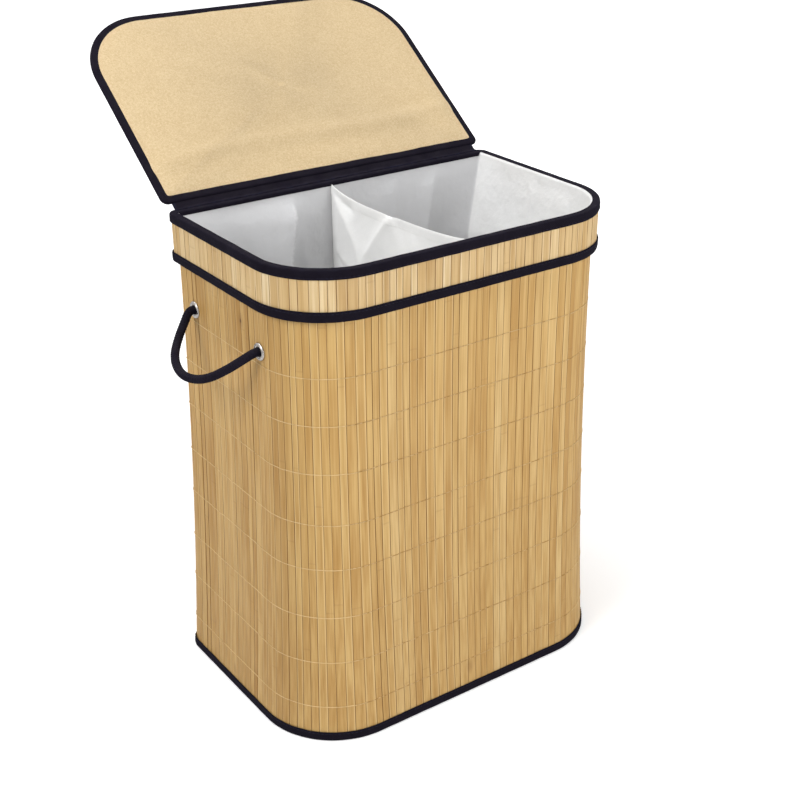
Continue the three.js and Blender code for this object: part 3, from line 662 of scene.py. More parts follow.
@dataclass
class MeshPlan:
    """Points and faces gathered from grids, then made into one mesh."""

    points: list = field(default_factory=list)
    faces: list = field(default_factory=list)
    lays: list = field(default_factory=list)
    tones: list = field(default_factory=list)
    size: int = 0

    def add_grid(self, grid: Array, along: Sequence[float], across: Sequence[float],
                 closes_along: bool = False, closes_across: bool = False, has_caps: bool = False,
                 tone: float | Array = 0.5) -> None:
        """Adds a surface of rows and columns.

        Args:
            grid: Points as rows by columns by three, in metres.
            along: Each column's length along the cloth, one more if it closes.
            across: Each row's length across the cloth, one more if it closes.
            closes_along: Whether the last column joins the first.
            closes_across: Whether the last row joins the first.
            has_caps: Whether the first and last columns are closed by a face each.
            tone: The tone of these faces or of each column's, from 0 to 1.
        """
        rows, columns = grid.shape[:2]
        start = self.size
        self.points.append(grid.reshape(-1, 3))
        self.size += rows * columns
        row_count = rows if closes_across else rows - 1
        column_count = columns if closes_along else columns - 1
        row, column = (part.ravel() for part in np.meshgrid(
            np.arange(row_count), np.arange(column_count), indexing="ij"))
        corners = ((0, 0), (0, 1), (1, 1), (1, 0))
        quads = [start + (row + down) % rows * columns + (column + aside) % columns
                 for down, aside in corners]
        self.faces.extend(np.stack(quads, axis=1).tolist())
        along, across = np.asarray(along, float), np.asarray(across, float)
        lay = [np.stack([along[column + aside], across[row + down]], axis=1)
               for down, aside in corners]
        self.lays.append(np.stack(lay, axis=1).reshape(-1, 2))
        self.tones.extend(np.broadcast_to(tone, column_count)[column].tolist())
        if has_caps:
            for cap in (0, columns - 1):
                corners = range(start + cap, start + rows * columns, columns)
                self.add_face(corners, along[cap], float(np.mean(tone)))

    def add_face(self, corners: Sequence[int], lay: object, tone: float) -> None:
        """Adds one face between points that are already there.

        Args:
            corners: The numbers of its points.
            lay: The place of each corner on the cloth, or of all of them.
            tone: The face's tone.
        """
        self.faces.append(list(corners))
        self.lays.append(np.broadcast_to(lay, (len(corners), 2)))
        self.tones.append(tone)

    def add_rings(self, rings: Sequence[Array], shares: Array, length: float,
                  is_closed: bool = False, tone: float | Array = 0.5) -> None:
        """Adds cloth that goes all the way round, ring by ring.

        Args:
            rings: Each ring's points in metres.
            shares: How far round each point is, from 0 and below 1.
            length: The length of the way round.
            is_closed: Whether a face closes the opening in the last ring.
            tone: The tone of these faces or of each column's, from 0 to 1.
        """
        grid = np.array(rings)
        self.add_grid(grid, np.append(shares, 1.0) * length, lengths_along(grid[:, 0]),
                      closes_along=True, tone=tone)
        if is_closed:
            self.add_face(range(self.size - len(shares), self.size), grid[-1, :, :2], 0.5)

    def add_slat(self, grid: Array, along: Array, tone: float) -> None:
        """Adds one slat with its two cut ends.

        Args:
            grid: Points as levels along the slat by points of its section by three.
            along: Each level's length along the slat.
            tone: The slat's tone.
        """
        start, columns = self.size, grid.shape[1]
        self.add_grid(grid, SLAT_LAY, along, closes_along=True, tone=tone)
        for row in (0, len(grid) - 1):
            first = start + row * columns
            self.add_face(range(first, first + columns), (0.5, along[row]), tone)

    def build(self, name: str, finish: Finish, sharp_angle: float = 40.0) -> Piece:
        """Makes the object with its finish.

        Args:
            name: The piece's name.
            finish: The finish of its faces.
            sharp_angle: Edges that bend more than this many degrees stay sharp.

        Returns:
            The new object.
        """
        mesh = bpy.data.meshes.new(name)
        mesh.from_pydata(np.concatenate(self.points).tolist(), [], self.faces)
        layer = mesh.uv_layers.new(name="lay")
        layer.data.foreach_set("uv", np.concatenate(self.lays).astype(np.float32).ravel())
        tone = mesh.attributes.new("tone", "FLOAT", "FACE")
        tone.data.foreach_set("value", np.array(self.tones, np.float32))
        shaped = bmesh.new()
        shaped.from_mesh(mesh)
        bmesh.ops.recalc_face_normals(shaped, faces=shaped.faces)
        shaped.to_mesh(mesh)
        shaped.free()
        mesh.shade_smooth()
        mesh.set_sharp_from_angle(angle=math.radians(sharp_angle))
        mesh.materials.append(finish.material())
        piece = bpy.data.objects.new(name, mesh)
        bpy.context.scene.collection.objects.link(piece)
        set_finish(piece, finish.slot)
        LOG.info("%s: %d faces", name, len(self.faces))
        return piece


def lengths_along(line: Array) -> Array:
    """Gives the length from the start to each point of a line."""
    return np.concatenate([[0.0], np.cumsum(np.linalg.norm(np.diff(line, axis=0), axis=1))])


def angles_round(count: int) -> list[float]:
    """Gives the angles of a ring's points."""
    return [TURN * step / count for step in range(count)]


def sweep(line: Array, ring_points: int, radius_at: Callable[[float, float], float]) -> Array:
    """Draws rings round a line, without twisting them.

    Args:
        line: The line's points.
        ring_points: How many points each ring has.
        radius_at: Gives the radius at an angle round the line and a length along it.

    Returns:
        Points as places round the ring by rings by three.
    """
    tangents = np.gradient(line, axis=0)
    tangents /= np.linalg.norm(tangents, axis=1)[:, None]
    rings, side = [], Vector((0.0, 0.0, 1.0))
    for point, tangent, length in zip(line, tangents, lengths_along(line)):
        forward = Vector(tangent)
        side = (side - forward * side.dot(forward)).normalized()
        other = forward.cross(side)
        ring = []
        for angle in angles_round(ring_points):
            radius = radius_at(angle, length)
            ring.append(tuple(
                Vector(point) + side * radius * math.cos(angle) + other * radius * math.sin(angle)))
        rings.append(ring)
    return np.array(rings).transpose(1, 0, 2)


def rounded(profile: Sequence[tuple[float, float]], rounds: int = 2) -> Array:
    """Rounds the corners of a closed profile by cutting them again and again.

    Args:
        profile: The profile's corner points.
        rounds: How many times the corners are cut.

    Returns:
        The rounded profile's points.
    """
    points = np.array(profile, float)
    for _ in range(rounds):
        following = np.roll(points, -1, axis=0)
        near, far = 0.75 * points + 0.25 * following, 0.25 * points + 0.75 * following
        points = np.stack([near, far], axis=1).reshape(-1, 2)
    return points


def thicken(piece: Piece, thickness: float, is_crisp: bool = False) -> Piece:
    """Gives a cloth surface its thickness, half to each side.

    Args:
        piece: The cloth.
        thickness: The cloth's thickness in metres.
        is_crisp: Whether the cloth's cut edges are shaded crisp.

    Returns:
        The same piece.
    """
    if is_crisp:
        shaped = bmesh.new()
        shaped.from_mesh(piece.data)
        for edge in shaped.edges:
            edge.smooth = edge.smooth and not edge.is_boundary
        shaped.to_mesh(piece.data)
        shaped.free()
    solid = piece.modifiers.new("thickness", "SOLIDIFY")
    solid.thickness = thickness
    solid.offset = 0.0
    return piece


# Shapes that the pieces share

@dataclass(frozen=True)
class Footprint:
    """A rounded outline seen from above, counter-clockwise from the front right corner."""

    half_width: float = 225 * MM
    front: float = -140 * MM
    rear: float = 140 * MM
    front_radius: float = 89 * MM
    rear_radius: float = 12 * MM
    smallest_radius_share: float = 0.3
    part_count: int = 8

    def edge_lengths(self) -> Array:
        """Gives the lengths of the four corners and four straights in turn."""
        depth, width = self.rear - self.front, 2 * self.half_width
        front_arc, rear_arc = self.front_radius * math.pi / 2, self.rear_radius * math.pi / 2
        side = depth - self.front_radius - self.rear_radius
        return np.array([
            front_arc, side, rear_arc, width - 2 * self.rear_radius,
            rear_arc, side, front_arc, width - 2 * self.front_radius])

    @property
    def length(self) -> float:
        """The outline's whole length."""
        return float(self.edge_lengths().sum())

    def _edges(self) -> Array:
        """Gives the shares at which the corners and straights begin, and 1."""
        return np.concatenate([[0.0], np.cumsum(self.edge_lengths())]) / self.length

    def _part(self, shares: Array) -> tuple[Array, Array]:
        """Finds the part that each share is on, with an even number for a corner.

        Args:
            shares: How far round each point is, from 0 and below 1.

        Returns:
            The parts' numbers and the shares of their lengths.
        """
        edges = self._edges()
        part = np.clip(np.searchsorted(edges, shares, side="right") - 1, 0, self.part_count - 1)
        return part, (shares - edges[part]) / (edges[part + 1] - edges[part])

    def stations(self, step: float, corner_steps: int = 12) -> Array:
        """Gives shares of the way round, close together in the corners.

        Args:
            step: The distance between points in metres.
            corner_steps: The least number of steps in a corner.

        Returns:
            The shares, from 0 and below 1.
        """
        edges = self._edges()
        shares = []
        for index in range(self.part_count):
            count = math.ceil((edges[index + 1] - edges[index]) * self.length / step)
            count = max(count, corner_steps) if index % 2 == 0 else max(count, 2)
            shares.append(np.linspace(edges[index], edges[index + 1], count, endpoint=False))
        return np.concatenate(shares)

    def points(self, shares: Array, inset_x: Array | float,
               inset_y: Array | float | None = None) -> Array:
        """Gives points of the outline drawn in by insets.

        Args:
            shares: How far round each point is, from 0 to 1.
            inset_x: How far the sides are drawn in.
            inset_y: How far front and back are drawn in, if not the same.

        Returns:
            The points, two numbers each.
        """
        inset_y = inset_x if inset_y is None else inset_y
        shares, inset_x, inset_y = np.broadcast_arrays(
            np.asarray(shares, float) % 1.0, np.asarray(inset_x, float), np.asarray(inset_y, float))
        drawn = (inset_x + inset_y) / 2
        front_radius, rear_radius = (
            np.maximum(radius - drawn, radius * self.smallest_radius_share)
            for radius in (self.front_radius, self.rear_radius))
        half, front, rear = self.half_width - inset_x, self.front + inset_y, self.rear - inset_y
        centre_x = np.stack([
            half - front_radius, half - rear_radius, rear_radius - half, front_radius - half])
        front_y, rear_y = front + front_radius, rear - rear_radius
        centre_y = np.stack([front_y, rear_y, rear_y, front_y])
        radii = np.stack([front_radius, rear_radius, rear_radius, front_radius])
        part, local = self._part(shares)
        corner, is_arc = part // 2, part % 2 == 0
        following = (corner + 1) % 4
        index = tuple(np.indices(shares.shape))

        def at(which: Array, angle: Array) -> Array:
            """Gives the points at an angle on the chosen corners."""
            chosen = (which, *index)
            return np.stack([
                centre_x[chosen] + radii[chosen] * np.cos(angle),
                centre_y[chosen] + radii[chosen] * np.sin(angle)], axis=-1)

        arc = at(corner, (corner - 1 + local) * math.pi / 2)
        begin, finish = (at(which, corner * math.pi / 2) for which in (corner, following))
        straight = begin + (finish - begin) * local[..., None]
        return np.where(is_arc[..., None], arc, straight)

    def outward(self, shares: Array) -> Array:
        """Gives the direction that faces out at each share.

        Args:
            shares: How far round each point is.

        Returns:
            The directions, two numbers each.
        """
        part, local = self._part(np.asarray(shares, float) % 1.0)
        local = np.where(part % 2 == 0, local, 1.0)
        angle = (part // 2 - 1 + local) * math.pi / 2
        return np.stack([np.cos(angle), np.sin(angle)], axis=-1)


@dataclass(frozen=True)
class WallCurve:
    """How far the body's outer face lies inside the collar's, at each height."""

    top_inset: float = 7.3 * MM
    base_spread: float = 8.5 * MM
    waist_draw: float = 0.6 * MM
    upright_above: float = 525 * MM

    def inset(self, height: Array | float) -> Array:
        """Gives the inset at a height in metres."""
        down = np.maximum(1 - np.asarray(height, float) / self.upright_above, 0.0)
        spread = (self.top_inset + self.base_spread) * down * down
        return self.top_inset + (4 * self.waist_draw * down * (1 - down) - spread)


HAMPER = Footprint()
LID = Footprint(front=-283.7 * MM, rear=-2.7 * MM, rear_radius=9 * MM)
WALL = WallCurve()
RIM = 582 * MM
EYELET_HEIGHT = 475 * MM
EYELET_PLACES = (-48 * MM, 98 * MM)
HINGE = Vector((0.0, 143.7 * MM, 585.7 * MM))
LID_ANGLE = math.radians(144)
LID_PLACE = Matrix.Translation(HINGE) @ Matrix.Rotation(-LID_ANGLE, 4, "X")


def in_lid_frame(points: Array) -> Array:
    """Moves points of the closed lid's own frame to where the open lid is."""
    place = np.array(LID_PLACE)
    return points @ place[:3, :3].T + place[:3, 3]


@dataclass(frozen=True)
class Ripple:
    """A smooth waver round an outline, the same on every run."""

    seed: int
    size: float
    waves: tuple[int, ...] = (3, 7, 13, 29, 53)

    def at(self, shares: Array) -> Array:
        """Gives the waver at shares of the way round."""
        chance = np.random.default_rng(self.seed)
        total = np.zeros_like(np.asarray(shares, float))
        for count in self.waves:
            total = total + np.sin(TURN * (count * shares + chance.random())) / len(self.waves)
        return self.size * total


# Camera and studio

@dataclass(frozen=True)
class Viewpoint:
    """The camera of the photograph, found by fitting the hamper's edges."""

    azimuth: float = -35.145
    elevation: float = 25.654
    roll: float = -0.17
    distance: float = 1.6837
    aim: tuple[float, float, float] = (0.0, 0.0, 0.295)
    slide: tuple[float, float] = (-2.09 * MM, 39.32 * MM)
    focal_pixels: float = 1376.8
    picture_pixels: float = 800.0
    sensor: float = 36.0

    def place(self) -> None:
        """Makes the scene's camera."""
        turn, rise, roll = map(math.radians, (self.azimuth, self.elevation, self.roll))
        back = Vector((
            math.sin(turn) * math.cos(rise), -math.cos(turn) * math.cos(rise), math.sin(rise)))
        level = Vector((math.cos(turn), math.sin(turn), 0.0))
        upright = back.cross(level)
        right = math.cos(roll) * level + math.sin(roll) * upright
        up = -math.sin(roll) * level + math.cos(roll) * upright
        spot = Vector(self.aim) + back * self.distance
        spot = spot + right * self.slide[0] + up * self.slide[1]
        data = bpy.data.cameras.new("camera")
        data.sensor_width = self.sensor
        data.lens = self.focal_pixels / self.picture_pixels * self.sensor
        camera = bpy.data.objects.new("camera", data)
        camera.matrix_world = Matrix((
            (right.x, up.x, back.x, spot.x),
            (right.y, up.y, back.y, spot.y),
            (right.z, up.z, back.z, spot.z),
            (0.0, 0.0, 0.0, 1.0)))
        bpy.context.scene.collection.objects.link(camera)
        bpy.context.scene.camera = camera


@dataclass(frozen=True)
class Lamp:
    """A soft square lamp that looks at the hamper."""

    name: str
    place: tuple[float, float, float]
    size: float
    power: float
    aim: tuple[float, float, float] = (0.0, 0.0, 0.35)

    def hang(self) -> None:
        """Hangs the lamp, aimed at the hamper's middle."""
        data = bpy.data.lights.new(self.name, "AREA")
        data.size = self.size
        data.energy = self.power
        lamp = bpy.data.objects.new(self.name, data)
        lamp.location = self.place
        towards = Vector(self.aim) - lamp.location
        lamp.rotation_euler = towards.to_track_quat("-Z", "Y").to_euler()
        bpy.context.scene.collection.objects.link(lamp)


@dataclass(frozen=True)
class Studio:
    """A plain pale floor, soft lamps and a white backdrop."""

    floor_half: float = 6.0
    floor_drop: float = 0.4 * MM
    world_light: float = 0.2
    lamps: tuple[Lamp, ...] = (
        Lamp("front_lamp", (0.75, -2.5, 1.1), 1.4, 38.0),
        Lamp("left_lamp", (-2.1, -0.3, 2.1), 1.1, 33.0),
        Lamp("top_lamp", (-0.2, 0.0, 3.1), 1.8, 34.0),
        Lamp("back_lamp", (-0.6, 1.4, 2.8), 1.4, 20.0),
    )

    def set_up(self) -> None:
        """Builds the floor, hangs the lamps and sets the world."""
        bpy.context.scene.view_settings.view_transform = "Standard"
        self._floor()
        for lamp in self.lamps:
            lamp.hang()
        world = bpy.data.worlds.new("studio")
        world.use_nodes = True
        bpy.context.scene.world = world
        sketch = Sketch(world.node_tree)
        world.node_tree.nodes.clear()
        # White where the camera or a mirror sees the backdrop, dim where it lights the hamper
        path = sketch.add("LightPath").outputs
        shown = sketch.math("MAXIMUM", path["Is Camera Ray"], path["Is Glossy Ray"])
        shown = sketch.math("MAXIMUM", shown, path["Is Transmission Ray"])
        strength = sketch.remap(shown, 0.0, 1.0, self.world_light, 1.0)
        light = sketch.add("Background", {"Color": (1.0, 1.0, 1.0, 1.0), "Strength": strength})
        sketch.add("OutputWorld", {"Surface": light.outputs[0]})

    def _floor(self) -> None:
        """Builds the floor, white to the camera with the hamper's shadow on it."""
        plan = MeshPlan()
        ends = np.linspace(-self.floor_half, self.floor_half, 3)
        grid = np.array([[(x, y, -self.floor_drop) for x in ends] for y in ends])
        plan.add_grid(grid, ends, ends)
        floor = plan.build("studio_floor", FLOOR)
        del floor["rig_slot"]


# Rope handles

@dataclass(frozen=True)
class RopeKnot:
    """The knot that holds a rope's end inside the wall."""

    side: str
    end: str
    direction: float
    place: float
    radius: float = 3.4 * MM
    turns: float = 1.9
    coil_points: int = 84
    coil_start: float = 209.6 * MM
    coil_depth: float = 4.2 * MM
    coil_radius: float = 5.4 * MM
    # Points before and after the coil, in millimetres from the middle plane and the eyelet's axis
    lead: tuple[tuple[float, float, float], ...] = ((214.6, 0.0, 0.0), (212.4, 2.2, 0.4))
    tail: tuple[tuple[float, float, float], ...] = ((204.4, 2.0, -2.4), (202.0, 0.0, 0.0))
    swell: float = 0.06
    swell_length: float = 4 * MM
    ring_points: int = 16

    def build(self) -> Piece:
        """Builds the knot on the basket.

        Returns:
            The knot.
        """
        turns = np.linspace(0, TURN * self.turns, self.coil_points)
        coil = np.stack([
            self.coil_start - self.coil_depth * (turns / turns[-1]),
            self.coil_radius * np.cos(turns), self.coil_radius * np.sin(turns)], axis=1)
        line = np.vstack([np.array(self.lead) * MM, coil, np.array(self.tail) * MM])
        grid = sweep(line, self.ring_points, self._radius_at)
        grid = grid * (self.direction, 1.0, 1.0) + (0.0, self.place, EYELET_HEIGHT)
        around = np.arange(self.ring_points + 1) / self.ring_points * TURN * self.radius
        plan = MeshPlan()
        plan.add_grid(grid, lengths_along(line), around, closes_across=True, has_caps=True)
        knot = plan.build(f"rope_knot_{self.side}_{self.end}", ROPE, 60.0)
        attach(knot, "basket")
        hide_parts(f"rope_end_{self.side}_{self.end}")
        return knot

    def _radius_at(self, _: float, length: float) -> float:
        """Gives the rope's radius at a length along it, the same all round."""
        return self.radius * (1 + self.swell * math.sin(TURN * length / self.swell_length))


@dataclass(frozen=True)
class RopeHandle:
    """A braided rope through two eyelets, hanging as a loop on one side."""

    side: str
    direction: float
    diameter: float = 10 * MM
    length: float = 0.243
    # Distances from the middle plane, from the rope's inner end out to its swinging part
    inner_end: float = 214.5 * MM
    fixed_reach: float = 217.6 * MM
    wall_face: float = 219.5 * MM
    outer_end: float = 223.6 * MM
    swing_axis: float = 225.557 * MM
    free_reach: float = 227.2 * MM
    tilt: float = math.radians(50)
    strands: int = 8
    twist_length: float = 15 * MM
    strand_depth: float = 0.45 * MM
    curve_steps: int = 24
    smoothing_rounds: int = 30
    ring_step: float = 0.9 * MM
    ring_points: int = 32
    # Half the loop from its end to its lowest point: place along the side, then drop
    half_route: Pairs = (
        (0.073, 0.0), (0.07081, 0.00434), (0.066795, 0.01116), (0.06278, 0.01798),
        (0.0584, 0.02542), (0.05329, 0.03286), (0.04599, 0.04216), (0.03796, 0.0496),
        (0.02847, 0.055366), (0.01898, 0.059024), (0.00949, 0.061256), (0.0, 0.062))

    @property
    def middle(self) -> float:
        """The loop's middle along the side."""
        return sum(EYELET_PLACES) / 2

    def route(self) -> Array:
        """Gives the rope's route from the rear eyelet to the front one.

        Returns:
            The route's points in metres.
        """
        half = list(self.half_route)
        hanging = half[1:] + [(-along, drop) for along, drop in reversed(half[1:-1])]
        loop = [(
            self.direction * (self.swing_axis + drop * math.sin(self.tilt)),
            self.middle + along,
            EYELET_HEIGHT - drop * math.cos(self.tilt)) for along, drop in hanging]
        half_span = half[0][0]
        rear, front = ([
            (self.direction * reach, self.middle + along, EYELET_HEIGHT)
            for reach in (self.inner_end, self.wall_face, self.outer_end)
        ] for along in (half_span, -half_span))
        return np.array(rear + loop + front[::-1])

    def smooth_route(self) -> Array:
        """Gives the route as closely spaced points on one smooth curve.

        Returns:
            Points about one ring step apart.
        """
        points = self.route()
        padded = np.vstack([2 * points[0] - points[1], points, 2 * points[-1] - points[-2]])
        fine = []
        for index in range(1, len(padded) - 2):
            before, start, end, after = padded[index - 1:index + 3]
            for share in np.linspace(0, 1, self.curve_steps, endpoint=False):
                fine.append(0.5 * (
                    2 * start + (end - before) * share
                    + (2 * before - 5 * start + 4 * end - after) * share ** 2
                    + (3 * start - before - 3 * end + after) * share ** 3))
        fine.append(points[-1])
        line = np.array(fine)
        for _ in range(self.smoothing_rounds):
            line[1:-1] = 0.5 * line[1:-1] + 0.25 * (line[:-2] + line[2:])
        along = lengths_along(line)
        places = np.linspace(0, along[-1], math.ceil(along[-1] / self.ring_step) + 1)
        return np.stack([np.interp(places, along, line[:, axis]) for axis in range(3)], axis=1)

    def build(self) -> Piece:
        """Returns:
            The rope.
        """
        line = self.smooth_route()
        around = np.arange(self.ring_points + 1) / self.ring_points * math.pi * self.diameter
        plan = MeshPlan()
        plan.add_grid(sweep(line, self.ring_points, self._radius_at), lengths_along(line), around,
                      closes_across=True, has_caps=True)
        rope = plan.build(f"rope_handle_{self.side}", ROPE, 60.0)
        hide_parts(f"handle_rope_{self.side}")
        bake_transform(rope)
        knots = [RopeKnot(self.side, end, self.direction, place).build()
                 for end, place in zip(("front", "rear"), EYELET_PLACES)]
        self.length
        return rope

    def _radius_at(self, angle: float, place: float) -> float:
        """Gives the rope's radius over the strands of its braid.

        Args:
            angle: The angle round the rope.
            place: The length along the rope.

        Returns:
            The radius in metres.
        """
        half = self.strands / 2
        turn = TURN * place / self.twist_length
        left, right = math.sin(half / 2 * (angle + turn)), math.sin(half / 2 * (angle - turn))
        over = max(abs(left), abs(right))
        return self.diameter / 2 - self.strand_depth + self.strand_depth * 2 * (over - 0.5)


@dataclass(frozen=True)
class Eyelet:
    """A rolled metal eyelet in the wall with its washer inside."""

    side: str
    end: str
    direction: float
    place: float
    steps: int = 56
    mean_radius: float = 10 * MM
    # Radius and reach from the middle plane, in millimetres, round the closed section
    flange: Pairs = (
        (5.45, 213.4), (6.0, 213.4), (6.0, 217.6), (9.8, 217.5), (10.25, 217.9), (10.1, 218.8),
        (9.2, 219.9), (7.9, 220.35), (6.7, 220.2), (5.8, 219.6), (5.45, 218.8))
    washer: Pairs = (
        (6.35, 213.5), (7.4, 213.2), (10.6, 213.5), (11.4, 213.9), (11.5, 214.4), (6.35, 214.4))

    def build(self) -> None:
        """Builds the eyelet and its washer on the basket."""
        for kind, section in (("eyelet", self.flange), ("washer", self.washer)):
            profile = rounded(section, 1) * MM
            grid = np.array([[(
                self.direction * reach, self.place + radius * math.cos(angle),
                EYELET_HEIGHT + radius * math.sin(angle),
            ) for angle in angles_round(self.steps)] for radius, reach in profile])
            plan = MeshPlan()
            around = np.arange(self.steps + 1) / self.steps * TURN * self.mean_radius
            plan.add_grid(grid, around, lengths_along(np.vstack([profile, profile[:1]])),
                          closes_along=True, closes_across=True)
            piece = plan.build(f"{kind}_ring_{self.side}_{self.end}", CHROME, 50.0)
            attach(piece, "basket")
            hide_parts(f"{kind}_{self.side}_{self.end}")


# Slat mats

# A slat's section: share of the width from the middle, height of the face in millimetres
SLAT_SECTION = np.array((
    (-0.5, -0.55), (-0.485, -0.22), (-0.45, -0.06), (-0.25, 0.04), (0.0, 0.08), (0.25, 0.04),
    (0.45, -0.06), (0.485, -0.22), (0.5, -0.55), (0.5, -1.6), (-0.5, -1.6)))
# The same points as shares of the width for the finish, with the back's two corners and the start
SLAT_LAY = np.append(SLAT_SECTION[:9, 0] + 0.5, [1.0, 0.0, 0.0])
SLAT_PITCH = 10.4 * MM


def slat_joints(chance: np.random.Generator, count: int) -> Array:
    """Draws slats of different widths and gives the shares, 0 to 1, at which they meet."""
    widths = chance.uniform(0.74, 1.22, count)
    return np.concatenate([[0.0], np.cumsum(widths)]) / widths.sum()


@dataclass(frozen=True)
class Thread:
    """The thread that sews a mat's slats together: its size, lie and tones."""

    radius: float = 0.36 * MM
    upright_share: float = 1.3
    ring_points: int = 6
    # Points on each slat as shares of its width, and how far each lies off the slat's face
    stations: tuple[float, ...] = (0.0, 0.16, 0.5, 0.84)
    lifts: tuple[float, ...] = (0.14 * MM, 0.18 * MM, 0.2 * MM, 0.18 * MM)
    wander: float = 0.16
    wander_limit: float = 1.2 * MM
    least_tone: float = 0.06
    painted_corner_light: float = 0.8
    tone_spread: float = 0.14


@dataclass(frozen=True)
class SlatPlay:
    """How each slat of a mat stands and looks: proud, leaning, bowed, its tone and gap."""

    proud: Array
    lean: Array
    bow: Array
    tone: Array
    gap: Array


@dataclass(frozen=True)
class SlatMat:
    """Separate upright slats sewn in rows, standing round a footprint."""

    name: str
    body: str
    node: str
    bottom: float
    top: float
    inset: Callable[[Array], Array]
    seed: int
    finish: Finish
    thread_rows: tuple[float, ...] = ()
    gap: float = 0.38 * MM
    mean_tone: float = 0.48
    tone_spread: float = 0.085
    light_share: float = 0.07
    light_step: float = 0.2
    painted_side_shade: float = 0.16
    # Spreads of how far slats stand proud and bow, in millimetres, and of their lean as a slope
    proud_spread: float = 0.08
    bow_spread: float = 0.1
    lean_spread: float = 0.016
    levels: int = 14
    thread: Thread = Thread()

    def build(self) -> None:
        """Builds the slats as one piece, and their thread rows as another."""
        joints = slat_joints(np.random.default_rng(self.seed), round(HAMPER.length / SLAT_PITCH))
        play = self.play(len(joints) - 1)
        heights = np.linspace(self.bottom, self.top, self.levels)
        plan = MeshPlan()
        share, depth = SLAT_SECTION[:, 0], SLAT_SECTION[:, 1]
        insets = self.inset(heights)
        walls = [HAMPER.points(np.full(self.levels, joint), insets) for joint in joints]
        for index, (start, end) in enumerate(zip(walls[:-1], walls[1:])):
            reach = np.linalg.norm(end - start, axis=1)
            direction = (end - start) / reach[:, None]
            outward = np.stack([direction[:, 1], -direction[:, 0]], axis=1)
            width = reach - play.gap[index]
            side = share[:, None, None] * width[None, :, None] * direction[None]
            rise = depth[:, None] * MM + play.lean[index] * share[:, None] * width[None, :]
            rise = rise + play.proud[index] + play.bow[index] * self._sway(heights)[None, :]
            flat = ((start + end) / 2)[None] + side + rise[:, :, None] * outward[None]
            upright = np.broadcast_to(heights[None, :, None], flat.shape[:2] + (1,))
            # Painted shade: slats that face left or right take a darker tone, or a lighter one when
            # this is set below zero.
            tone = play.tone[index] - self.painted_side_shade * abs(outward[0, 0]) ** 3
            grid = np.concatenate([flat, upright], axis=2).transpose(1, 0, 2)
            plan.add_slat(grid, heights, float(max(tone, 0.0)))
        slats = plan.build(self.name, self.finish, 35.0)
        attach(slats, self.body)
        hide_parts(self.node)
        if self.thread_rows:
            self._threads(joints, play)

    def play(self, count: int) -> SlatPlay:
        """Draws how each slat stands and looks.

        Args:
            count: How many slats there are.

        Returns:
            The slats' places, leans, bows, tones and gaps.
        """
        chance = np.random.default_rng(self.seed + 1)
        tone = chance.normal(self.mean_tone, self.tone_spread, count)
        tone = tone + self.light_step * (chance.random(count) < self.light_share)
        return SlatPlay(
            proud=chance.normal(0.0, self.proud_spread, count) * MM,
            lean=chance.normal(0.0, self.lean_spread, count),
            bow=chance.normal(0.0, self.bow_spread, count) * MM, tone=np.clip(tone, 0.0, 1.0),
            gap=self.gap * chance.uniform(0.25, 1.4, count))

    def _sway(self, heights: Array | float) -> Array:
        """Gives the share of a slat's bow at each height."""
        return np.sin(TURN * (heights - self.bottom) / (self.top - self.bottom))

    def _threads(self, joints: Array, play: SlatPlay) -> None:
        """Sews a thread row over the slats at each row's height.

        Args:
            joints: The shares at which the slats meet.
            play: How each slat stands.
        """
        plan, thread = MeshPlan(), self.thread
        chance = np.random.default_rng(self.seed + 2)
        widths, stations = np.diff(joints), len(thread.stations)
        shares = np.stack([joints[:-1] + widths * part for part in thread.stations], axis=1).ravel()
        outward = HAMPER.outward(shares)
        # Painted light and shade: threads are paler where they face the sides round a corner and
        # darker along the front and back.
        painted_side_light = soft_step(np.abs(outward[:, 0]), 0.1, 0.5)
        light = thread.least_tone + thread.painted_corner_light * painted_side_light
        for row in self.thread_rows:
            face = play.proud + play.bow * self._sway(row)
            lifts = np.stack([(face + np.roll(face, 1)) / 2, face, face, face], axis=1)
            lifts = (lifts + thread.lifts).ravel()
            waver = np.cumsum(chance.normal(0.0, thread.wander, len(widths))) * MM
            waver = np.repeat(waver, stations)
            waver -= np.linspace(waver[0], waver[-1], len(waver))
            heights = row + np.clip(waver, -thread.wander_limit, thread.wander_limit)
            centre = HAMPER.points(shares, self.inset(heights) - lifts)
            rings = []
            for angle in angles_round(thread.ring_points):
                flat = centre + outward * thread.radius * math.cos(angle)
                rise = thread.radius * thread.upright_share * math.sin(angle)
                rings.append(np.column_stack([flat, heights + rise]))
            spread = np.repeat(chance.normal(0.0, thread.tone_spread, len(widths)), stations)
            plan.add_grid(
                np.array(rings), np.append(shares, 1.0) * HAMPER.length,
                np.arange(thread.ring_points + 1) * thread.radius,
                closes_along=True, closes_across=True, tone=np.clip(light + spread, 0.0, 1.0))
        rows = plan.build(f"{self.name}_threads", THREAD, 80.0)
        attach(rows, self.body)


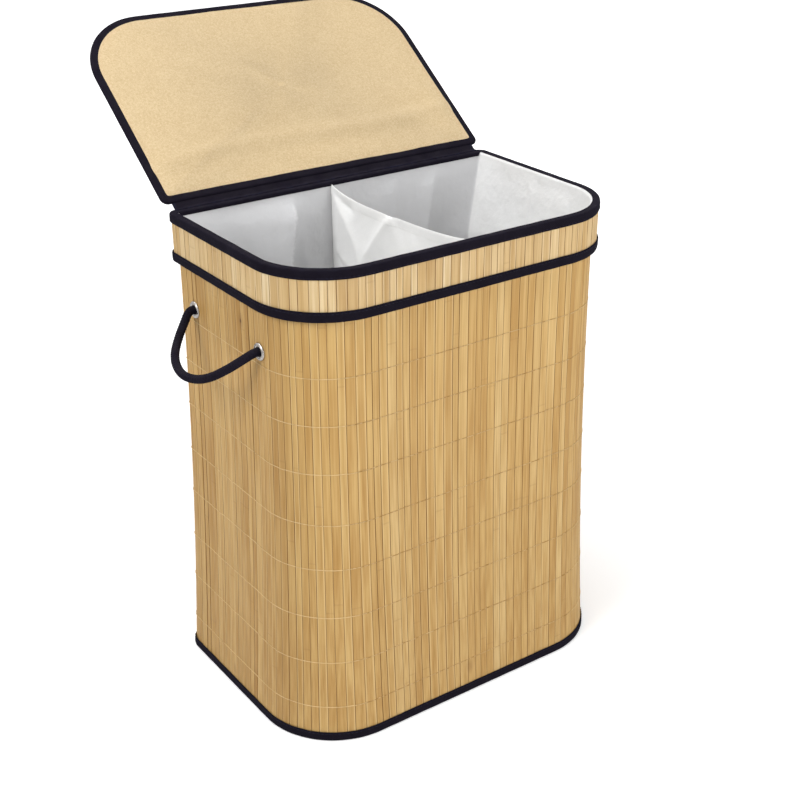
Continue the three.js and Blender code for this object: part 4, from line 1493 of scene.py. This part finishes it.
@dataclass(frozen=True)
class LidSlats:
    """The lid's outer slats, from its front edge to its rear one."""

    name: str = "lid_slat_strips"
    inset: float = 4 * MM
    face: float = 2.15 * MM
    gap: float = 0.4 * MM
    proud_spread: float = 0.06
    mean_tone: float = 0.5
    tone_spread: float = 0.18
    depth: float = 0.28
    seed: int = 91
    levels: int = 8

    def build(self) -> None:
        """Builds the strips on the lid."""
        chance = np.random.default_rng(self.seed)
        half = LID.half_width - self.inset
        edges = -half + 2 * half * slat_joints(chance, round(2 * half / SLAT_PITCH))
        levels = np.linspace(0, 1, self.levels)
        plan = MeshPlan()
        for left, right in zip(edges[:-1], edges[1:]):
            middle, width = (left + right) / 2, right - left - self.gap
            x = middle + SLAT_SECTION[:, 0] * width
            proud = chance.normal(0.0, self.proud_spread) * MM
            tone = float(np.clip(chance.normal(self.mean_tone, self.tone_spread), 0.0, 1.0))
            ends = np.array([self._ends(value) for value in x])
            y = ends[:, :1] + (ends[:, 1:] - ends[:, :1]) * levels[None]
            z = np.broadcast_to((self.face + SLAT_SECTION[:, 1] * MM + proud)[:, None], y.shape)
            grid = np.stack([np.broadcast_to(x[:, None], y.shape), y, z], axis=2)
            plan.add_slat(in_lid_frame(grid).transpose(1, 0, 2), self.depth * levels, tone)
        strips = plan.build(self.name, LID_BAMBOO, 35.0)
        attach(strips, "lid")
        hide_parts("lid_slats")

    def _ends(self, x: float) -> tuple[float, float]:
        """Gives the front and rear end of a strip's line.

        Args:
            x: The line's place along the lid's width.

        Returns:
            The two places along the lid's depth.
        """
        front, rear = LID.front + self.inset, LID.rear - self.inset
        radius = LID.front_radius - self.inset
        past = abs(x) - (LID.half_width - self.inset - radius)
        if past > 0:
            front += radius - math.sqrt(max(radius ** 2 - past ** 2, 0.0))
        return front, rear


# Edge tapes

@dataclass(frozen=True)
class EdgeTape:
    """A woven tape folded over an edge all the way round, with its stitches."""

    name: str
    body: str
    node: str
    # The closed section: inset from the footprint and height, in millimetres
    section: Pairs
    # Stitch lines: inset, height, and whether the face looks sideways, up or down
    stitches: tuple[tuple[float, float, str], ...]
    seed: int
    footprint: Footprint = HAMPER
    on_lid: bool = False
    follows_wall: bool = False
    rear_section: Pairs | None = None
    step: float = 5 * MM
    waver: float = 0.22 * MM
    stitch_pitch: float = 4.6 * MM
    stitch_length: float = 3.3 * MM
    stitch_radius: float = 0.36 * MM
    stitch_sink: float = 0.3 * MM
    stitch_points: int = 6
    # Places along a stitch from its middle, and the share of its thickness at each
    stitch_places: tuple[float, ...] = (-1.0, -0.6, 0.0, 0.6, 1.0)
    stitch_taper: tuple[float, ...] = (0.35, 0.95, 1.0, 0.95, 0.35)

    def _ripples(self) -> tuple[Ripple, Ripple]:
        """Gives the tape's wavers sideways and upwards."""
        return Ripple(self.seed, self.waver), Ripple(self.seed + 7, self.waver)

    def _at(self, shares: Array, inset: Array | float, height: Array | float) -> Array:
        """Gives points of the tape.

        Args:
            shares: How far round each point is.
            inset: The inset from the footprint in metres.
            height: The height in metres.

        Returns:
            The points in the hamper's frame.
        """
        extra = WALL.inset(height) if self.follows_wall else 0.0
        flat = self.footprint.points(shares, np.asarray(inset) + extra)
        height = np.broadcast_to(height, flat.shape[:-1])
        points = np.concatenate([flat, height[..., None]], axis=-1)
        return in_lid_frame(points) if self.on_lid else points

    def build(self) -> None:
        """Builds the tape and its stitches."""
        shares = self.footprint.stations(self.step, 14)
        profile, rear = rounded(self.section) * MM, rounded(self.rear_section or self.section) * MM
        sideways, upward = self._ripples()
        at_rear = soft_step(self.footprint.outward(shares)[:, 1], 0.3, 0.9)
        grid = []
        for (inset, height), (rear_inset, rear_height) in zip(profile, rear):
            grid.append(self._at(
                shares, inset + (rear_inset - inset) * at_rear + sideways.at(shares),
                height + (rear_height - height) * at_rear + upward.at(shares)))
        plan = MeshPlan()
        along = np.append(shares, 1.0) * self.footprint.length
        plan.add_grid(np.array(grid), along, lengths_along(np.vstack([profile, profile[:1]])),
                      closes_along=True, closes_across=True)
        tape = plan.build(self.name, TAPE, 60.0)
        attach(tape, self.body)
        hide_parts(self.node)
        self._sew()

    def _sew(self) -> None:
        """Sews rows of short stitches along the tape's edges."""
        plan = MeshPlan()
        count = round(self.footprint.length / self.stitch_pitch)
        half = self.stitch_length / 2 / self.footprint.length
        sideways, upward = self._ripples()
        places, taper = np.array(self.stitch_places), np.array(self.stitch_taper)
        sunk = -self.stitch_sink * (1 - taper)
        around = np.arange(self.stitch_points + 1) * self.stitch_radius
        for inset, height, facing in self.stitches:
            for index in range(count):
                shares = (index + 0.5) / count + half * places
                rings = []
                for angle in angles_round(self.stitch_points):
                    out = self.stitch_radius * math.cos(angle)
                    up = self.stitch_radius * math.sin(angle)
                    inset_here = inset * MM + sideways.at(shares) - out * taper
                    height_here = height * MM + upward.at(shares) + up * taper
                    if facing == "side":
                        inset_here = inset_here - sunk
                    else:
                        height_here = height_here + sunk * (1 if facing == "up" else -1)
                    rings.append(self._at(shares, inset_here, height_here))
                plan.add_grid(np.array(rings), shares * self.footprint.length, around,
                              closes_across=True, has_caps=True)
        stitches = plan.build(f"{self.name}_stitches", STITCH, 80.0)
        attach(stitches, self.body)


RIM_TAPE = EdgeTape(
    name="rim_tape", body="collar", node="collar_top_binding", seed=11,
    section=((0.0, 571.3), (-0.35, 575.0), (-0.45, 579.0), (0.15, 581.6), (1.6, 582.1),
             (4.4, 582.0), (7.4, 582.0), (8.6, 581.75), (8.9, 581.4), (8.6, 581.1), (7.6, 581.05),
             (5.0, 581.05), (1.2, 581.05), (0.95, 578.0), (0.95, 571.3)),
    rear_section=((0.0, 571.3), (-0.35, 575.0), (-0.45, 579.0), (0.15, 581.6), (1.8, 582.1),
                  (6.0, 582.0), (10.3, 582.1), (12.0, 581.4), (12.4, 579.2), (12.1, 576.6),
                  (11.1, 576.7), (11.0, 581.0), (1.2, 581.05), (0.95, 578.0), (0.95, 571.3)),
    stitches=((-0.35, 573.4, "side"),))
COLLAR_FOOT_TAPE = EdgeTape(
    name="collar_foot_tape", body="collar", node="collar_bottom_binding", seed=23,
    section=((0.0, 537.0), (-0.35, 534.0), (-0.45, 529.0), (0.1, 525.9), (1.4, 524.8), (4.2, 525.0),
             (4.9, 526.0), (4.95, 531.0), (4.9, 536.5), (4.1, 536.5), (4.1, 526.4), (1.1, 526.3),
             (0.95, 530.0), (0.95, 537.0)),
    stitches=((-0.35, 534.6, "side"),))
FOOT_TAPE = EdgeTape(
    name="foot_tape", body="basket", node="body_bottom_binding", seed=37, follows_wall=True,
    section=((-1.2, 11.8), (-1.55, 8.0), (-1.65, 4.0), (-1.25, 0.9), (0.2, 0.1), (2.8, 0.1),
             (3.7, 1.0), (3.75, 6.0), (3.7, 11.5), (2.9, 11.5), (2.8, 1.2), (-0.1, 1.2),
             (-0.3, 4.0), (-0.3, 11.8)),
    stitches=((-1.55, 9.6, "side"),))
LID_TAPE = EdgeTape(
    name="lid_tape", body="lid", node="lid_binding", seed=53, footprint=LID, on_lid=True,
    section=((9.3, -2.85), (7.0, -3.0), (3.0, -2.95), (0.9, -2.3), (0.1, -0.9), (0.1, 0.9),
             (0.9, 2.3), (3.0, 2.95), (7.0, 3.0), (9.3, 2.85), (9.3, 2.4), (3.0, 2.4), (1.5, 1.2),
             (1.5, -1.2), (3.0, -2.4), (9.3, -2.4)),
    stitches=((7.8, -2.85, "down"), (7.8, 2.8, "up")), waver=0.14 * MM, stitch_radius=0.28 * MM)


# Cloth

class Wall(Enum):
    """The walls of the liner that carry named pleats, by the way that they face out."""

    BACK = (0.0, 1.0)
    RIGHT = (1.0, 0.0)
    LEFT = (-1.0, 0.0)


@dataclass(frozen=True)
class Pleat:
    """A crisp fold along a line on a cloth, with a flank to each side of the line."""

    # Places across and up, in millimetres, from the fold's top to its foot
    line: Pairs
    depth: float
    low_side: float
    high_side: float
    wall: Wall | None = None

    def height(self, across: Array, up: Array) -> Array:
        """Gives the fold's height at points of the cloth.

        Args:
            across: Places across the cloth in metres.
            up: Heights in metres.

        Returns:
            The height in metres at each point.
        """
        line = np.array(self.line) * MM
        nearest = np.full(np.shape(across), np.inf)
        side = np.zeros(np.shape(across))
        share = np.zeros(np.shape(across))
        steps = len(line) - 1
        for index, (start, end) in enumerate(zip(line[:-1], line[1:])):
            run = end - start
            part = ((across - start[0]) * run[0] + (up - start[1]) * run[1]) / (run @ run)
            part = np.clip(part, 0.0, 1.0)
            away_across = across - start[0] - part * run[0]
            away = np.hypot(away_across, up - start[1] - part * run[1])
            is_nearer = away < nearest
            nearest = np.where(is_nearer, away, nearest)
            side = np.where(is_nearer, away_across, side)
            share = np.where(is_nearer, (index + part) / steps, share)
        width = np.where(side < 0, self.low_side, self.high_side) * MM
        fade = soft_step(share, 0.0, 0.2) * (1 - soft_step(share, 0.8, 1.0))
        return self.depth * MM * np.exp(-nearest / width) * fade


@dataclass(frozen=True)
class LinerBag:
    """The white cloth bag: turned over the rim, hanging in folds, with a floor."""

    seed: int = 5
    creases: int = 30
    step: float = 3.2 * MM
    thickness: float = 0.7 * MM
    middle_inset: float = 0.4 * MM
    fold_depth: float = 3.4 * MM
    corner_fill: float = 11 * MM
    corner_reach: float = 52 * MM
    corner_start: float = 14 * MM
    pleats: tuple[Pleat, ...] = (
        Pleat(((-62, 620), (-71, 565), (-91, 505), (-114, 430), (-140, 330)), 15.0, 50.0, 9.0,
              Wall.BACK),
        Pleat(((-150, 584), (-140, 540), (-128, 480), (-110, 380)), 3.0, 12.0, 22.0, Wall.BACK),
        Pleat(((146, 584), (144, 555), (140, 510), (132, 430)), 5.0, 26.0, 9.0, Wall.BACK),
        Pleat(((74, 584), (84, 540), (88, 470), (80, 360)), 3.0, 20.0, 12.0, Wall.BACK),
        Pleat(((24, 584), (20, 545), (14, 480), (2, 380)), 3.5, 26.0, 8.0, Wall.RIGHT),
        Pleat(((-38, 584), (-44, 545), (-52, 470), (-60, 350)), 3.0, 10.0, 24.0, Wall.RIGHT),
        Pleat(((60, 584), (52, 520), (40, 430), (30, 300)), 3.0, 14.0, 22.0, Wall.LEFT),
    )
    seam_half_width: float = 34 * MM
    floor: float = 5.4 * MM
    # The floor's rings as shares of the wall's last one, and how high its outer ring is drawn up
    floor_rings: tuple[float, ...] = (0.985, 0.96, 0.92, 0.84, 0.7, 0.52, 0.34, 0.18, 0.06)
    floor_rise: float = 6 * MM
    floor_wrinkle: float = 0.5 * MM
    painted_rear_shade: float = 0.72
    flat: tuple[float, float] = (1.37, 0.72)
    # The part turned over the rim: its inset outside and inside, and the height of its arch
    outer_inset: float = 5.7 * MM
    inner_inset: float = 10.3 * MM
    arch: float = 2 * MM
    # Height, inset at the sides, inset at front and back in millimetres, share of the fold depth
    levels: tuple[tuple[float, float, float, float], ...] = (
        (578.4, 10.3, 10.3, 0.0), (560.0, 12.6, 10.8, 0.3), (530.0, 17.0, 11.2, 0.7),
        (485.0, 24.6, 11.6, 1.0), (349.2, 24.8, 12.6, 1.0), (174.6, 24.8, 13.4, 1.0),
        (40.0, 24.8, 13.8, 0.8), (11.6, 25.2, 14.4, 0.4))

    def folds(self, shares: Array, height: float, fold_share: float) -> Array:
        """Gives how far the cloth stands in from its smooth wall.

        Args:
            shares: How far round each point is.
            height: The height in metres.
            fold_share: The share of the full depth that loose folds have here.

        Returns:
            The inward depth at each share.
        """
        chance = np.random.default_rng(self.seed)
        down = (RIM - height) / RIM
        total = 0.4 * (1 + np.sin(TURN * (7 * shares + 0.35 * down)))
        total = total + 0.25 * (1 + np.sin(TURN * (17 * shares - 0.5 * down + 0.2)))
        for index in range(self.creases):
            share = (index + chance.uniform(0.15, 0.85)) / self.creases
            drift, width = chance.normal(0.0, 0.02), chance.uniform(0.004, 0.011)
            depth = chance.uniform(-0.5, 1.1)
            away = (shares - share - drift * down + 0.5) % 1.0 - 0.5
            total = total + depth * np.exp(-np.sqrt((away / width) ** 2 + 0.12))
        flat, outward = HAMPER.points(shares, 10 * MM), HAMPER.outward(shares)
        off_seam = soft_step(np.abs(flat[:, 0]), self.seam_half_width / 3, self.seam_half_width)
        depth = self.fold_depth * np.clip(total, -0.2, 2.0) * fold_share
        from_rim = soft_step(RIM - height, 3 * MM, 36 * MM) * min(fold_share * 4, 1.0)
        for pleat in self.pleats:
            facing = outward @ np.array(pleat.wall.value)
            across = flat[:, 0] if pleat.wall is Wall.BACK else flat[:, 1]
            rise = pleat.height(across, np.full(len(shares), height))
            depth = depth + rise * soft_step(facing, 0.5, 0.95) * from_rim
        corner = np.hypot(HAMPER.half_width - np.abs(flat[:, 0]), HAMPER.rear - flat[:, 1])
        corner = corner - self.corner_start
        fill = np.maximum(1 - np.maximum(corner, 0.0) / self.corner_reach, 0.0)
        return (depth + self.corner_fill * fill * fold_share) * off_seam

    def build(self) -> None:
        shares = HAMPER.stations(self.step, 16)
        rings = []
        for height, sides, ends, fold_share in self._wall_loops():
            inset = self.middle_inset + self.folds(shares, height, fold_share)
            flat = HAMPER.points(shares, sides + inset, ends + inset)
            rings.append(np.column_stack([flat, np.full(len(shares), height)]))
        rings += self._floor(shares, rings[-1])
        # Painted shade: the rear wall's cloth looks greyer, made so through each face's tone.
        tone = 1 - self.painted_rear_shade * soft_step(HAMPER.outward(shares)[:, 1], 0.2, 0.9)
        plan = MeshPlan()
        plan.add_rings(rings, shares, HAMPER.length, is_closed=True, tone=tone)
        bag = thicken(plan.build("liner_bag_cloth", LINER, 70.0), self.thickness)
        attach(bag, "liner")
        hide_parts("liner_bag")

    def _wall_loops(self) -> list[tuple[float, float, float, float]]:
        """Lists the loops from the turned-over edge down to the floor.

        Returns:
            Each loop's height, inset at the sides, inset at front and back, and fold share.
        """
        outside, inside = self.outer_inset, self.inner_inset
        loops = [(height, outside, outside, 0.0) for height in np.linspace(545.0, 578.5, 8) * MM]
        for angle in np.linspace(0, math.pi, 7)[1:-1]:
            inset = (outside + inside) / 2 - (inside - outside) / 2 * math.cos(angle)
            loops.append((578.6 * MM + self.arch * math.sin(angle), inset, inset, 0.0))
        table = np.array(self.levels)[::-1]
        for height in np.concatenate([np.linspace(578.0, 430.0, 34), np.linspace(420.0, 12.0, 42)]):
            sides, ends, folds = (np.interp(height, table[:, 0], part) for part in table.T[1:])
            loops.append((height * MM, sides * MM, ends * MM, folds))
        return loops

    def _floor(self, shares: Array, last: Array) -> list[Array]:
        """Draws the wall's last loop in to the bag's wrinkled floor.

        Args:
            shares: How far round each point is.
            last: The wall's last loop.

        Returns:
            The floor's rings.
        """
        chance, rings = np.random.default_rng(self.seed + 3), []
        for share in self.floor_rings:
            ring = last * (share + (1 - share) * 0.25, share, 0.0)
            rise = self.floor_rise * soft_step(share, 0.9, 1.0)
            wave = np.sin(TURN * (5 * shares + chance.random())) * (share < 0.95)
            ring[:, 2] = self.floor + rise + self.floor_wrinkle * (1 + wave)
            rings.append(ring)
        return rings


@dataclass(frozen=True)
class LinerDivider:
    """The cloth wall between the bins, slack, with creases that fan from its back end."""

    top: float = 578.4 * MM
    foot: float = 6.6 * MM
    sag: float = 13 * MM
    lean: float = -13.0 * MM
    slack: float = 3.6 * MM
    limit: float = 20 * MM
    clearance: float = 0.9 * MM
    thickness: float = 1.1 * MM
    columns: int = 110
    rows: int = 150
    hem_depth: float = 13 * MM
    hem_thickness: float = 0.24 * MM
    hem_rows: int = 6
    stitch_count: int = 74
    stitch_radius: float = 0.18 * MM
    stitch_points: int = 5
    # Places along a stitch as shares of the divider, and the share of its thickness at each
    stitch_places: tuple[float, ...] = (0.0, 0.0025, 0.006, 0.0085)
    stitch_taper: tuple[float, ...] = (0.3, 1.0, 1.0, 0.3)
    flat: tuple[float, float] = (0.25, 0.575)
    # Folds across from front to back and up; below zero stands out to the left
    pleats: tuple[Pleat, ...] = (
        Pleat(((150, 590), (118, 562), (93, 538), (72, 512), (64, 486), (60, 450)), -7.0, 8.0,
              26.0),
        Pleat(((160, 600), (128, 572), (104, 561), (80, 553)), 5.0, 7.0, 7.0),
        Pleat(((8, 570), (26, 554), (42, 532), (58, 508), (70, 480)), -5.0, 18.0, 7.0),
        Pleat(((140, 518), (124, 502), (104, 491), (80, 486), (64, 478)), -5.0, 10.0, 12.0),
        Pleat(((122, 500), (104, 482), (92, 462), (84, 440)), 4.5, 10.0, 8.0),
        Pleat(((-20, 566), (-34, 520), (-40, 450), (-30, 340)), -2.4, 20.0, 30.0),
        Pleat(((-90, 570), (-84, 480), (-60, 360), (-40, 240)), 3.0, 24.0, 14.0),
        Pleat(((60, 430), (40, 330), (30, 220), (34, 120)), -3.6, 16.0, 30.0),
    )

    def reach(self, heights: Array) -> Array:
        """Gives how far the divider reaches to front and back at each height."""
        bag = np.array(LinerBag.levels)[::-1] * MM
        return HAMPER.rear - np.interp(heights, bag[:, 0], bag[:, 2]) - self.clearance

    def surface(self, shares: Array, downs: Array) -> Array:
        """Gives points of the divider's middle surface.

        Args:
            shares: Shares of the way from the front wall to the back wall.
            downs: Shares of the way from the top edge to the foot.

        Returns:
            A grid of points, rows down and columns from front to back.
        """
        share, down = np.meshgrid(shares, downs)
        arch = np.sin(math.pi * share)
        height = self.top - (self.top - self.foot) * down
        hollow = (4 * share * (1 - share)) ** 0.7 * (0.8 + 0.4 * share)
        height = height - self.sag * hollow * np.exp(-down * 14)
        reach = self.reach(height)
        along = -reach + 2 * reach * share
        upper = 1 - soft_step(down, 0.25, 0.8)
        aside = self.lean * soft_step(share, 0.45, 1.0) * upper
        upper = soft_step(down, 0.0, 0.12) * (1 - soft_step(down, 0.2, 0.6))
        aside = aside - self.slack * arch * upper
        wave = np.sin(TURN * (0.75 * share + 0.55 * down + 0.05)) * down
        aside = aside + arch * self.slack * 0.8 * wave
        for pleat in self.pleats:
            ends = np.minimum(1.0, 18 * (1 - share)) * np.minimum(1.0, 8 * share)
            aside = aside + ends * pleat.height(along, height)
        # The cloth eases into its limits instead of being cut off at them
        aside = self.limit * np.tanh(aside / self.limit)
        return np.stack([aside, along, height], axis=-1)

    def build(self) -> None:
        """Builds the divider, its hem and the hem's stitches."""
        shares = np.linspace(0, 1, self.columns)
        downs = np.linspace(0, 1, self.rows) ** 1.15
        grid = self.surface(shares, downs)
        plan = MeshPlan()
        plan.add_grid(grid, lengths_along(grid[0]), lengths_along(grid[:, self.columns // 2]))
        divider = thicken(plan.build("liner_divider_cloth", DIVIDER, 70.0), self.thickness)
        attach(divider, "liner")
        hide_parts("liner_divider")
        hem, seam = self._hem(shares), self._hem_seam()

    def _hem(self, shares: Array) -> Piece:
        """Builds the hem folded over the divider's top edge.

        Args:
            shares: Shares of the way from front to back.

        Returns:
            The hem.
        """
        depth, count = self.hem_depth / (self.top - self.foot), self.hem_rows
        downs = np.concatenate([np.linspace(depth, 0, count), np.linspace(0, depth, count)])
        # The hem bulges off the cloth, sinks in at its lower edges and is lifted at the fold
        out = (self.thickness / 2 + 0.12 * MM) * np.where(downs == 0, 0.55, 1.0)
        out = np.where(downs == depth, self.thickness / 2 - 0.06 * MM, out)
        out = out * np.repeat([-1.0, 1.0], count)
        lifts = np.where(downs == 0, 0.5 * MM, 0.0)
        grid = self.surface(shares, downs) + np.stack([out, 0 * out, lifts], axis=1)[:, None]
        plan = MeshPlan()
        plan.add_grid(grid, lengths_along(grid[0]), lengths_along(grid[:, self.columns // 2]))
        hem = plan.build("liner_divider_hem", DIVIDER, 70.0)
        thicken(hem, self.hem_thickness, is_crisp=True)
        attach(hem, "liner")
        return hem

    def _hem_seam(self) -> Piece:
        """Builds the row of stitches along the hem's lower edge.

        Returns:
            The stitches.
        """
        plan = MeshPlan()
        down = (self.hem_depth - 2 * MM) / (self.top - self.foot)
        taper = np.array(self.stitch_taper)
        out = self.thickness / 2 + self.hem_thickness
        around = np.arange(self.stitch_points + 1) * MM
        for start in np.linspace(0.01, 0.985, self.stitch_count):
            line = self.surface(start + np.array(self.stitch_places), np.array([down]))[0]
            for side in (-1.0, 1.0):
                rings = []
                for angle in angles_round(self.stitch_points):
                    lift = np.column_stack([
                        side * out + self.stitch_radius * math.cos(angle) * taper,
                        np.zeros(len(taper)), self.stitch_radius * math.sin(angle) * taper])
                    rings.append(line + lift)
                plan.add_grid(np.array(rings), lengths_along(line), around,
                              closes_across=True, has_caps=True)
        seam = plan.build("liner_divider_seam", LINER_STITCH, 80.0)
        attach(seam, "liner")
        return seam


@dataclass(frozen=True)
class RingCloth:
    """A band of cloth that lines a wall, through given insets and heights."""

    name: str
    body: str
    node: str
    # Height and inset in millimetres; the wall's curve is added where it is followed
    route: tuple[tuple[float, float, bool], ...]
    flat: tuple[float, float]
    rests_on: str
    seed: int
    thickness: float = 0.5 * MM
    step: float = 8 * MM
    waver: float = 0.1 * MM

    def build(self) -> None:
        shares = HAMPER.stations(self.step, 10)
        waver = Ripple(self.seed, self.waver)
        rows = []
        for height, inset, follows in self.route:
            extra = WALL.inset(height * MM) if follows else 0.0
            flat = HAMPER.points(shares, inset * MM + extra + waver.at(shares))
            rows.append(np.column_stack([flat, np.full(len(shares), height * MM)]))
        plan = MeshPlan()
        plan.add_rings(rows, shares, HAMPER.length)
        band = thicken(plan.build(self.name, BACKING, 60.0), self.thickness)
        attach(band, self.body)
        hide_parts(self.node)


@dataclass(frozen=True)
class LidLining:
    """The tan lining inside the lid, a little uneven over its board."""

    inset: float = 5 * MM
    face: float = -2.25 * MM
    thickness: float = 0.5 * MM
    swell: float = 5.5 * MM
    width: float = 0.45
    depth: float = 0.28
    flat: tuple[float, float] = (0.44, 0.271)

    def _rise(self, x: Array, y: Array, share: float) -> Array:
        """Gives how far the lining stands off its board.

        Args:
            x: Places along the width.
            y: Places along the depth, from the hinge to the front as negative.
            share: How far the ring is from the middle, 1 at the edge.

        Returns:
            The height off the board.
        """
        across, along = x / self.width, -y / self.depth
        # Two ridges and a pucker where the photograph has them, then broad and small swells
        first = along - 0.22 - 0.06 * across + 0.02 * np.sin(TURN * across)
        first = np.exp(-(first / 0.042) ** 2)
        second = np.exp(-((along - 0.4 + 0.1 * across) / 0.07) ** 2)
        second = second * (0.5 + 0.5 * np.sin(TURN * (across + 0.1)))
        aside = across + 0.3
        pucker = np.exp(-((along - 0.13 - 0.5 * aside) / 0.035) ** 2 - (aside / 0.12) ** 2)
        broad = 0.5 + 0.5 * np.sin(TURN * (0.55 * across + 0.4 * along + 0.1))
        small = 0.18 * np.sin(TURN * (3.3 * across + 1.9 * along))
        small = small * np.sin(TURN * (2.7 * along - 1.4 * across))
        edge = 1 - soft_step(share, 0.9, 1.0)
        total = 0.75 * first + 0.35 * second + 0.3 * pucker + 0.2 * broad + 0.15 + 0.6 * small
        return self.swell * total * edge

    def build(self) -> None:
        shares = LID.stations(6 * MM, 16)
        outline = LID.points(shares, self.inset)
        middle = np.array([0.0, (LID.front + LID.rear) / 2])
        rows = []
        for share in np.linspace(1.0, 0.02, 46):
            flat = middle + (outline - middle) * share
            rise = self._rise(flat[:, 0], flat[:, 1], share)
            rows.append(in_lid_frame(np.column_stack([flat, self.face - rise])))
        plan = MeshPlan()
        plan.add_rings(rows, shares, LID.length, is_closed=True)
        lining = thicken(plan.build("lid_lining_cloth", LINING, 80.0), self.thickness)
        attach(lining, "lid")
        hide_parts("lid_lining")


@dataclass(frozen=True)
class HingeStrip:
    """The cloth strip that joins the lid's rear edge to the collar's rim."""

    half_length: float = 214 * MM
    columns: int = 120
    thickness: float = 0.9 * MM
    # Places back and up from the hinge on the collar, then reaches along the lid, in millimetres
    on_collar: Pairs = (
        (-9.5, -3.35), (-6.5, -3.25), (-4.2, -3.0), (-2.6, -2.1), (-1.3, -1.05))
    lid_reaches: tuple[float, ...] = (0.0, 1.4, 2.8, 4.6)

    def build(self) -> None:
        """Builds the strip between collar and lid."""
        towards_lid = Vector((0.0, -math.cos(LID_ANGLE), math.sin(LID_ANGLE)))
        on_lid = [(towards_lid.y * reach, towards_lid.z * reach) for reach in self.lid_reaches]
        route = np.array([*self.on_collar, *on_lid]) * MM
        x = np.linspace(-self.half_length, self.half_length, self.columns)
        waver = 0.12 * MM * np.sin(x * 130) + 0.08 * MM * np.sin(x * 310 + 1.0)
        grid = np.array([
            np.column_stack([x, HINGE.y + y + 0 * x, HINGE.z + z + waver]) for y, z in route])
        plan = MeshPlan()
        plan.add_grid(grid, x - x[0], lengths_along(grid[:, 0]))
        strip = thicken(plan.build("lid_hinge_cloth", TAPE, 60.0), self.thickness)
        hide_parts("lid_hinge_tape")
        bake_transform(strip)


@dataclass(frozen=True)
class BaseCover:
    """The cloth cover under the base."""

    inset: float = -3.0 * MM
    height: float = 0.55 * MM
    thickness: float = 0.6 * MM
    step: float = 8 * MM
    pucker: float = 0.12 * MM
    swell: float = 0.3 * MM
    flat: tuple[float, float] = (0.456, 0.286)

    def build(self) -> None:
        """Builds the cover, with shallow puckers near its edge."""
        shares = HAMPER.stations(self.step, 12)
        outline = HAMPER.points(shares, self.inset)
        rows = []
        for share in np.linspace(1.0, 0.02, 22):
            pucker = self.pucker * np.sin(TURN * 60 * shares) * soft_step(share, 0.85, 1.0)
            swell = self.swell * (1 - share)
            rows.append(np.column_stack([outline * share, self.height + pucker + swell]))
        plan = MeshPlan()
        plan.add_rings(rows, shares, HAMPER.length, is_closed=True)
        cover = thicken(plan.build("base_cover_cloth", TAPE, 60.0), self.thickness)
        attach(cover, "basket")
        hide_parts("base_cover")


def collar_inset(height: Array) -> Array:
    """Gives the collar slats' inset, the same at every height."""
    return np.full_like(np.asarray(height, float), 1.2 * MM)


BODY_SLATS = SlatMat(
    name="body_slat_mat", body="basket", node="body_slats", bottom=1.4 * MM, top=578.6 * MM,
    inset=WALL.inset, seed=2, finish=BAMBOO, levels=16,
    thread_rows=tuple(
        height * MM for height in (460.5, 402.6, 345.8, 284.2, 227.5, 166.5, 107.0, 45.5)))
COLLAR_SLATS = SlatMat(
    name="collar_slat_mat", body="collar", node="collar_slats", bottom=526.4 * MM, top=580.6 * MM,
    inset=collar_inset, seed=44, finish=COLLAR_BAMBOO, levels=4, tone_spread=0.17,
    light_share=0.08, painted_side_shade=-0.1)
BODY_BACKING = RingCloth(
    name="body_backing_cloth", body="basket", node="body_backing", seed=81,
    route=(*((height, 2.2, True) for height in (1.6, *range(60, 481, 60), 530.0, 579.2)),
           (579.6, 9.0, False), (579.6, 7.2, False), (579.2, 6.7, False), (572.0, 6.7, False),
           (565.8, 6.7, False)),
    flat=(1.38, 0.596), rests_on="body_slat_mat")
COLLAR_BACKING = RingCloth(
    name="collar_backing_cloth", body="collar", node="collar_backing", seed=83,
    route=tuple((height, 3.4, False) for height in (526.4, 545.0, 563.0, 580.6)),
    flat=(1.36, 0.0545), rests_on="collar_slat_mat")


def main() -> None:
    """Builds the hamper's pieces in order."""
    logging.basicConfig(level=logging.INFO, format="%(name)s: %(message)s")
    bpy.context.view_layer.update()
    Viewpoint().place()
    for side, direction in (("left", -1.0), ("right", 1.0)):
        rope = RopeHandle(side, direction).build()
        LOG.info("%s with its knots", rope.name)
        for end, place in zip(("front", "rear"), EYELET_PLACES):
            Eyelet(side, end, direction, place).build()
    for maker in (
        BODY_SLATS, BODY_BACKING, FOOT_TAPE, BaseCover(), COLLAR_SLATS, COLLAR_BACKING, RIM_TAPE,
        COLLAR_FOOT_TAPE, LinerBag(), LinerDivider(), LidLining(), LidSlats(), LID_TAPE,
        HingeStrip(),
    ):
        maker.build()
        LOG.info("%s done", type(maker).__name__)
    for node in ("base_board", "lid_board"):
        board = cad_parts[node]
        board.data.materials.clear()
        board.data.materials.append(BOARD.material())
        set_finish(board, BOARD.slot)
    Studio().set_up()


if __name__ == "__main__":
    main()
